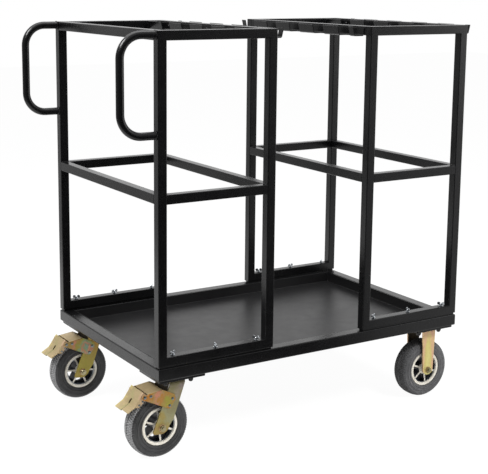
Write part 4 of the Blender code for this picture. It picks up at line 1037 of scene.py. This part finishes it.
def pedal_mesh():
    """Brake pedal about its pivot: a slotted face, a split foot tongue, cheeks and a shoe bar."""
    sheet = THIN_SHEET
    half = PEDAL_HALF_WIDTH
    back = PEDAL_FACE_OFFSET
    front = back + sheet
    low = PEDAL_FACE_LOW
    cheek_rise, cheek_out = PEDAL_CHEEK_LOW
    fold_rise = sheet * math.tan(math.radians(PEDAL_FACE_ANGLE - PEDAL_FLANGE_ANGLE) / 2)
    outward, top, cheek_low, bend, fold, overlap, shoe = on_face(
        (0, 1), (-PEDAL_FACE_TOP, front), (low - cheek_rise, cheek_out), (low, back),
        (low - fold_rise, front), (low - JOIN_DEPTH, back), (SHOE_DROP, SHOE_OFFSET))

    def on_tongue(*steps):
        return on_slope(PEDAL_FLANGE_ANGLE, bend, *steps)

    cheek = [top, *PEDAL_CHEEK_FRONT, cheek_low, bend, fold]
    pedal = folded(prism(cheek, "Y", -half, half), outward, front, half)
    hollow = on_face((-FAR, back), (FAR, back), (FAR, -FAR), (-FAR, -FAR))
    pedal = cut(pedal, prism(hollow, "Y", sheet - half, half - sheet))
    long = PEDAL_TONGUE_LENGTH
    short = PEDAL_FLANGE_LENGTH
    past = on_tongue((long * 2, sheet * 2), (long * 2, -sheet))
    tongue = prism([overlap, bend, *on_tongue((long, 0), (long, sheet)), fold], "Y", -half, half)
    spare = on_tongue((short, -sheet), (short, sheet * 2)) + past
    tongue = cut(tongue, prism(spare, "Y", -half * 2, 0))
    bar = rod(SHOE_RADIUS, sheet / 2 - half, half - sheet / 2, segments=28)
    pedal = join(pedal, tongue, moved(bar, shoe[0], 0, shoe[1]))
    width, height = PEDAL_SLOT
    slot_low = low - sheet
    slot_high = slot_low - height
    slot = on_face((slot_high, back - sheet), (slot_high, front + sheet),
                   (slot_low, front + sheet), (slot_low, back - sheet))
    slit = on_face((slot_low - sheet, back - sheet), (slot_low - sheet, front + sheet)) + past
    split = PEDAL_SLIT_WIDTH / 2
    return cut(pedal, prism(slot, "Y", -width / 2, width / 2), prism(slit, "Y", -split, split))


def in_pedal_painted_shade(face):
    """True for the pedal's hidden inner faces and its slot's walls, which take a near-black
    painted shade.
    """
    y = abs(face.center.y)
    edge = PEDAL_HALF_WIDTH - THIN_SHEET
    wall = abs(face.normal.y) > 0.9 and (abs(y - edge) < 0.05 * MM or y < PEDAL_SLOT[0])
    return wall or (y < edge and face.normal.x > 0.3)


def rivets(places, outer, radius, height):
    """Domed heads on both cheeks at the places given as (x, z)."""
    return together(*[moved(dome(radius, height, "Y", side, side * outer), x, 0, z)
                      for x, z in places for side in (-1, 1)])


def build_swivel_caster(side):
    axis = JOINTS[f"swivel_{side}_turn"]
    wheel = JOINTS[f"wheel_{side}_left_roll"]
    pivot = JOINTS[f"pedal_{side}_press"]
    fork = Extents(f"fork_{side}")
    outer = fork.size.y / 2
    origin = (axis.x, axis.y, 0)
    node = f"swivel_plate_{side}"
    plate_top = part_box(node)[1].z
    build_mount_plate(side, "left", plate_top, axis)
    plate = join(plate_mesh(node), race_mesh(fork.high.z, plate_top - SHEET))
    # The swivel plate and its race take the near-black painted shade zinc.
    dress(node, "zinc", plate, "painted_shade_gold", origin, edge=EDGE)
    # Faces inside the fork's strap take painted shade.
    dress(f"fork_{side}", "zinc", fork_mesh(outer, wheel.z, fork.high.z), f"{side}_fork", origin,
          edge=THICK_EDGE, second=("painted_shade_gold", in_strap_painted_shade))

    inner = outer + SEAT_GAP
    cheek = inner + THIN_SHEET
    pin = (pivot.x - axis.x, pivot.z)
    spots = [(x - AXLE_TRAIL, z + wheel.z) for x, z in HOUSING_RIVETS]
    dress(f"brake_housing_{side}", "zinc", housing_mesh(pin, *spots, inner), f"{side}_cheek",
          origin, edge=SHEET_EDGE, second=("roof_gold", lambda face: abs(face.normal.y) < 0.5))
    spots.append(offset(pin, SHOE_LINK_RIVET))
    heads = rivets(spots, cheek, *RIVET)
    place(f"housing_rivets_{side}", heads, "rivet", f"swivel_{side}", origin)

    body = f"pedal_{side}"
    heads = rivets([(0, 0)], cheek + 0.5 * MM, *PIN_HEAD)
    place(f"pedal_pin_heads_{side}", heads, "rivet", body, pivot)
    # The pedal's inner faces and slot walls take painted shade.
    dress(f"brake_pedal_{side}", "zinc", pedal_mesh(), "pale_gold", pivot, edge=SHEET_EDGE,
          second=("painted_shade_gold", in_pedal_painted_shade))
    # The link behind the slot takes painted shade.
    place(f"pedal_link_{side}_zinc", pedal_link_mesh(), "painted_shade_gold", body, pivot)
    heads = rivets(PEDAL_RIVETS, PEDAL_HALF_WIDTH - 0.2 * MM, *SMALL_RIVET)
    place(f"pedal_rivets_{side}", heads, "rivet", body, pivot)
    build_axle(f"axle_{side}_left", wheel, outer)


def bracket_mesh(node, axle_z, outer):
    """Rigid bracket: a plate over a strap bent to two tapering, round-ended legs."""
    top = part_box(node)[1].z - SHEET + JOIN_DEPTH
    half = BRACKET_TOP_WIDTH / 2
    end = BRACKET_END_WIDTH / 2
    strap = bent_strap(outer, -half, half, top, axle_z - BRACKET_END_DROP - SHEET)
    outline = [(half, top + SHEET), (-half, top + SHEET), (-half, top - FORK_BEND * 2)]
    outline += arc((0, axle_z + end - BRACKET_END_DROP), end, 180, 360, 24)
    outline += [(half, top - FORK_BEND * 2)]
    strap = combine("INTERSECT", strap, prism(outline, "Y", -outer * 2, outer * 2))
    return join(plate_mesh(node), strap)


def build_rigid_caster(side):
    wheel = JOINTS[f"wheel_{side}_right_roll"]
    node = f"bracket_{side}"
    outer = Extents(f"fork_{side}").size.y / 2
    build_mount_plate(side, "right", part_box(node)[1].z, wheel)
    # Faces inside the bracket's strap take painted shade.
    dress(node, "zinc", bracket_mesh(node, wheel.z, outer), "peach_gold", (wheel.x, wheel.y, 0),
          edge=THICK_EDGE, second=("painted_shade_gold", in_strap_painted_shade))
    build_axle(f"axle_{side}_right", wheel, outer)


# Stage

def studio_tones(nodes, direction):
    """The studio's tone for gloss in a level direction, and how far the direction points up."""
    x, y, z = nodes.add("SeparateXYZ", {"Vector": direction})
    left, front = [nodes.maths("MULTIPLY", socket, -1.0) for socket in (x, y)]
    turn = nodes.maths("ARCTAN2", left, front)
    share = nodes.add("MapRange", {"Value": turn, "From Min": -math.pi, "From Max": math.pi})
    tones = [((180 + angle) / 360, tone) for angle, tone in reversed(STUDIO_TONES)]
    return nodes.ramp(share["Result"], *tones), z


def fade(nodes, value, start, end, **to):
    """Smoothly from 0 to 1, or as given, while a value goes from start to end."""
    inputs = {"Value": value, "From Min": start, "From Max": end, **to}
    return nodes.add("MapRange", inputs, interpolation_type="SMOOTHSTEP")["Result"]


def emptied(owner):
    """The nodes of a material or a world, with none in them yet."""
    owner.use_nodes = True
    owner.node_tree.nodes.clear()
    return Nodes(owner.node_tree)


def finish_by_ray(nodes, output, camera, gloss, matt):
    """Ends a tree: one shader for the camera, one for glossy rays and one for all others."""
    path = nodes.add("LightPath", {})
    seen = nodes.maths("MAXIMUM", path["Is Camera Ray"], path["Is Transmission Ray"])
    lit = nodes.add("MixShader", {0: path["Is Glossy Ray"], 1: matt, 2: gloss})[0]
    nodes.add(output, {"Surface": nodes.add("MixShader", {0: seen, 1: lit, 2: camera})[0]})


def build_floor():
    """A floor that is white to the camera with a soft shadow, and fades from the cart to gloss."""
    bpy.ops.mesh.primitive_plane_add(size=FLOOR_SIZE, location=(0, 0, -FLOOR_DROP))
    floor = bpy.context.object
    floor.name = "floor"
    material = bpy.data.materials.new("floor")
    nodes = emptied(material)
    spot = nodes.add("NewGeometry", {})["Position"]
    reach = nodes.add("VectorMath", {0: spot, 1: PAPER_CENTRE}, operation="DISTANCE")["Value"]
    paper = fade(nodes, reach, *PAPER_REACH, **{"To Min": 1.0, "To Max": 0.0})
    tone = nodes.mix(paper, studio_tones(nodes, spot)[0], grey(1))
    seen = nodes.add("Emission", {"Color": grey(1), "Strength": FLOOR_GLOW})[0]
    gloss = nodes.add("Emission", {"Color": tone, "Strength": 1.0})[0]
    matt = nodes.add("BsdfDiffuse", {"Color": grey(FLOOR_MATT)})[0]
    shade = nodes.add("BsdfDiffuse", {"Color": grey(FLOOR_SHADE)})[0]
    white = nodes.add("AddShader", {0: seen, 1: shade})[0]
    finish_by_ray(nodes, "OutputMaterial", white, gloss, matt)
    floor.data.materials.append(material)


def build_world():
    """White to the camera; for gloss the same tones as the floor, and a plain grey overhead."""
    world = bpy.data.worlds.new("studio")
    bpy.context.scene.world = world
    nodes = emptied(world)
    tones, height = studio_tones(nodes, nodes.add("TexCoord", {})["Generated"])
    tone = nodes.mix(fade(nodes, height, *OVERHEAD_FROM), tones, grey(OVERHEAD_TONE))
    looks = ((grey(1), 1.0), (tone, 1.0), (grey(1), SOFT_LIGHT))
    shaders = [nodes.add("Background", {"Color": colour, "Strength": strength})[0]
               for colour, strength in looks]
    finish_by_ray(nodes, "OutputWorld", *shaders)


def build_lights():
    for name, (location, target, size, power, in_gloss) in LAMPS.items():
        data = bpy.data.lights.new(name, "AREA")
        data.shape = "RECTANGLE"
        data.size, data.size_y = size
        data.energy = power
        lamp = add_object(name, data)
        lamp.location = location
        aim = Vector(target) - Vector(location)
        lamp.rotation_euler = aim.to_track_quat("-Z", "Y").to_euler()
        lamp.visible_camera = False
        lamp.visible_glossy = in_gloss


def build_camera():
    data = bpy.data.cameras.new("camera")
    data.lens = CAMERA_LENS
    data.sensor_width = CAMERA_SENSOR
    data.shift_x, data.shift_y = CAMERA_SHIFT
    data.clip_end = 100
    camera = add_object("camera", data)
    aim = Matrix.Translation(CAMERA_PLACE)
    for angle, axis in ((-CAMERA_AZIMUTH, "Z"), (90 - CAMERA_DOWN, "X"), (CAMERA_ROLL, "Z")):
        aim @= Matrix.Rotation(math.radians(angle), 4, axis)
    camera.matrix_world = aim
    bpy.context.scene.camera = camera


build_base()
for rack_side in ("left", "right"):
    build_rack(rack_side)
build_combs()
build_handles()
build_wing_bolts()
build_wheels()
for caster_side in ("front", "back"):
    build_swivel_caster(caster_side)
    build_rigid_caster(caster_side)
build_floor()
build_world()
build_lights()
build_camera()
bpy.context.scene.view_settings.view_transform = "Standard"
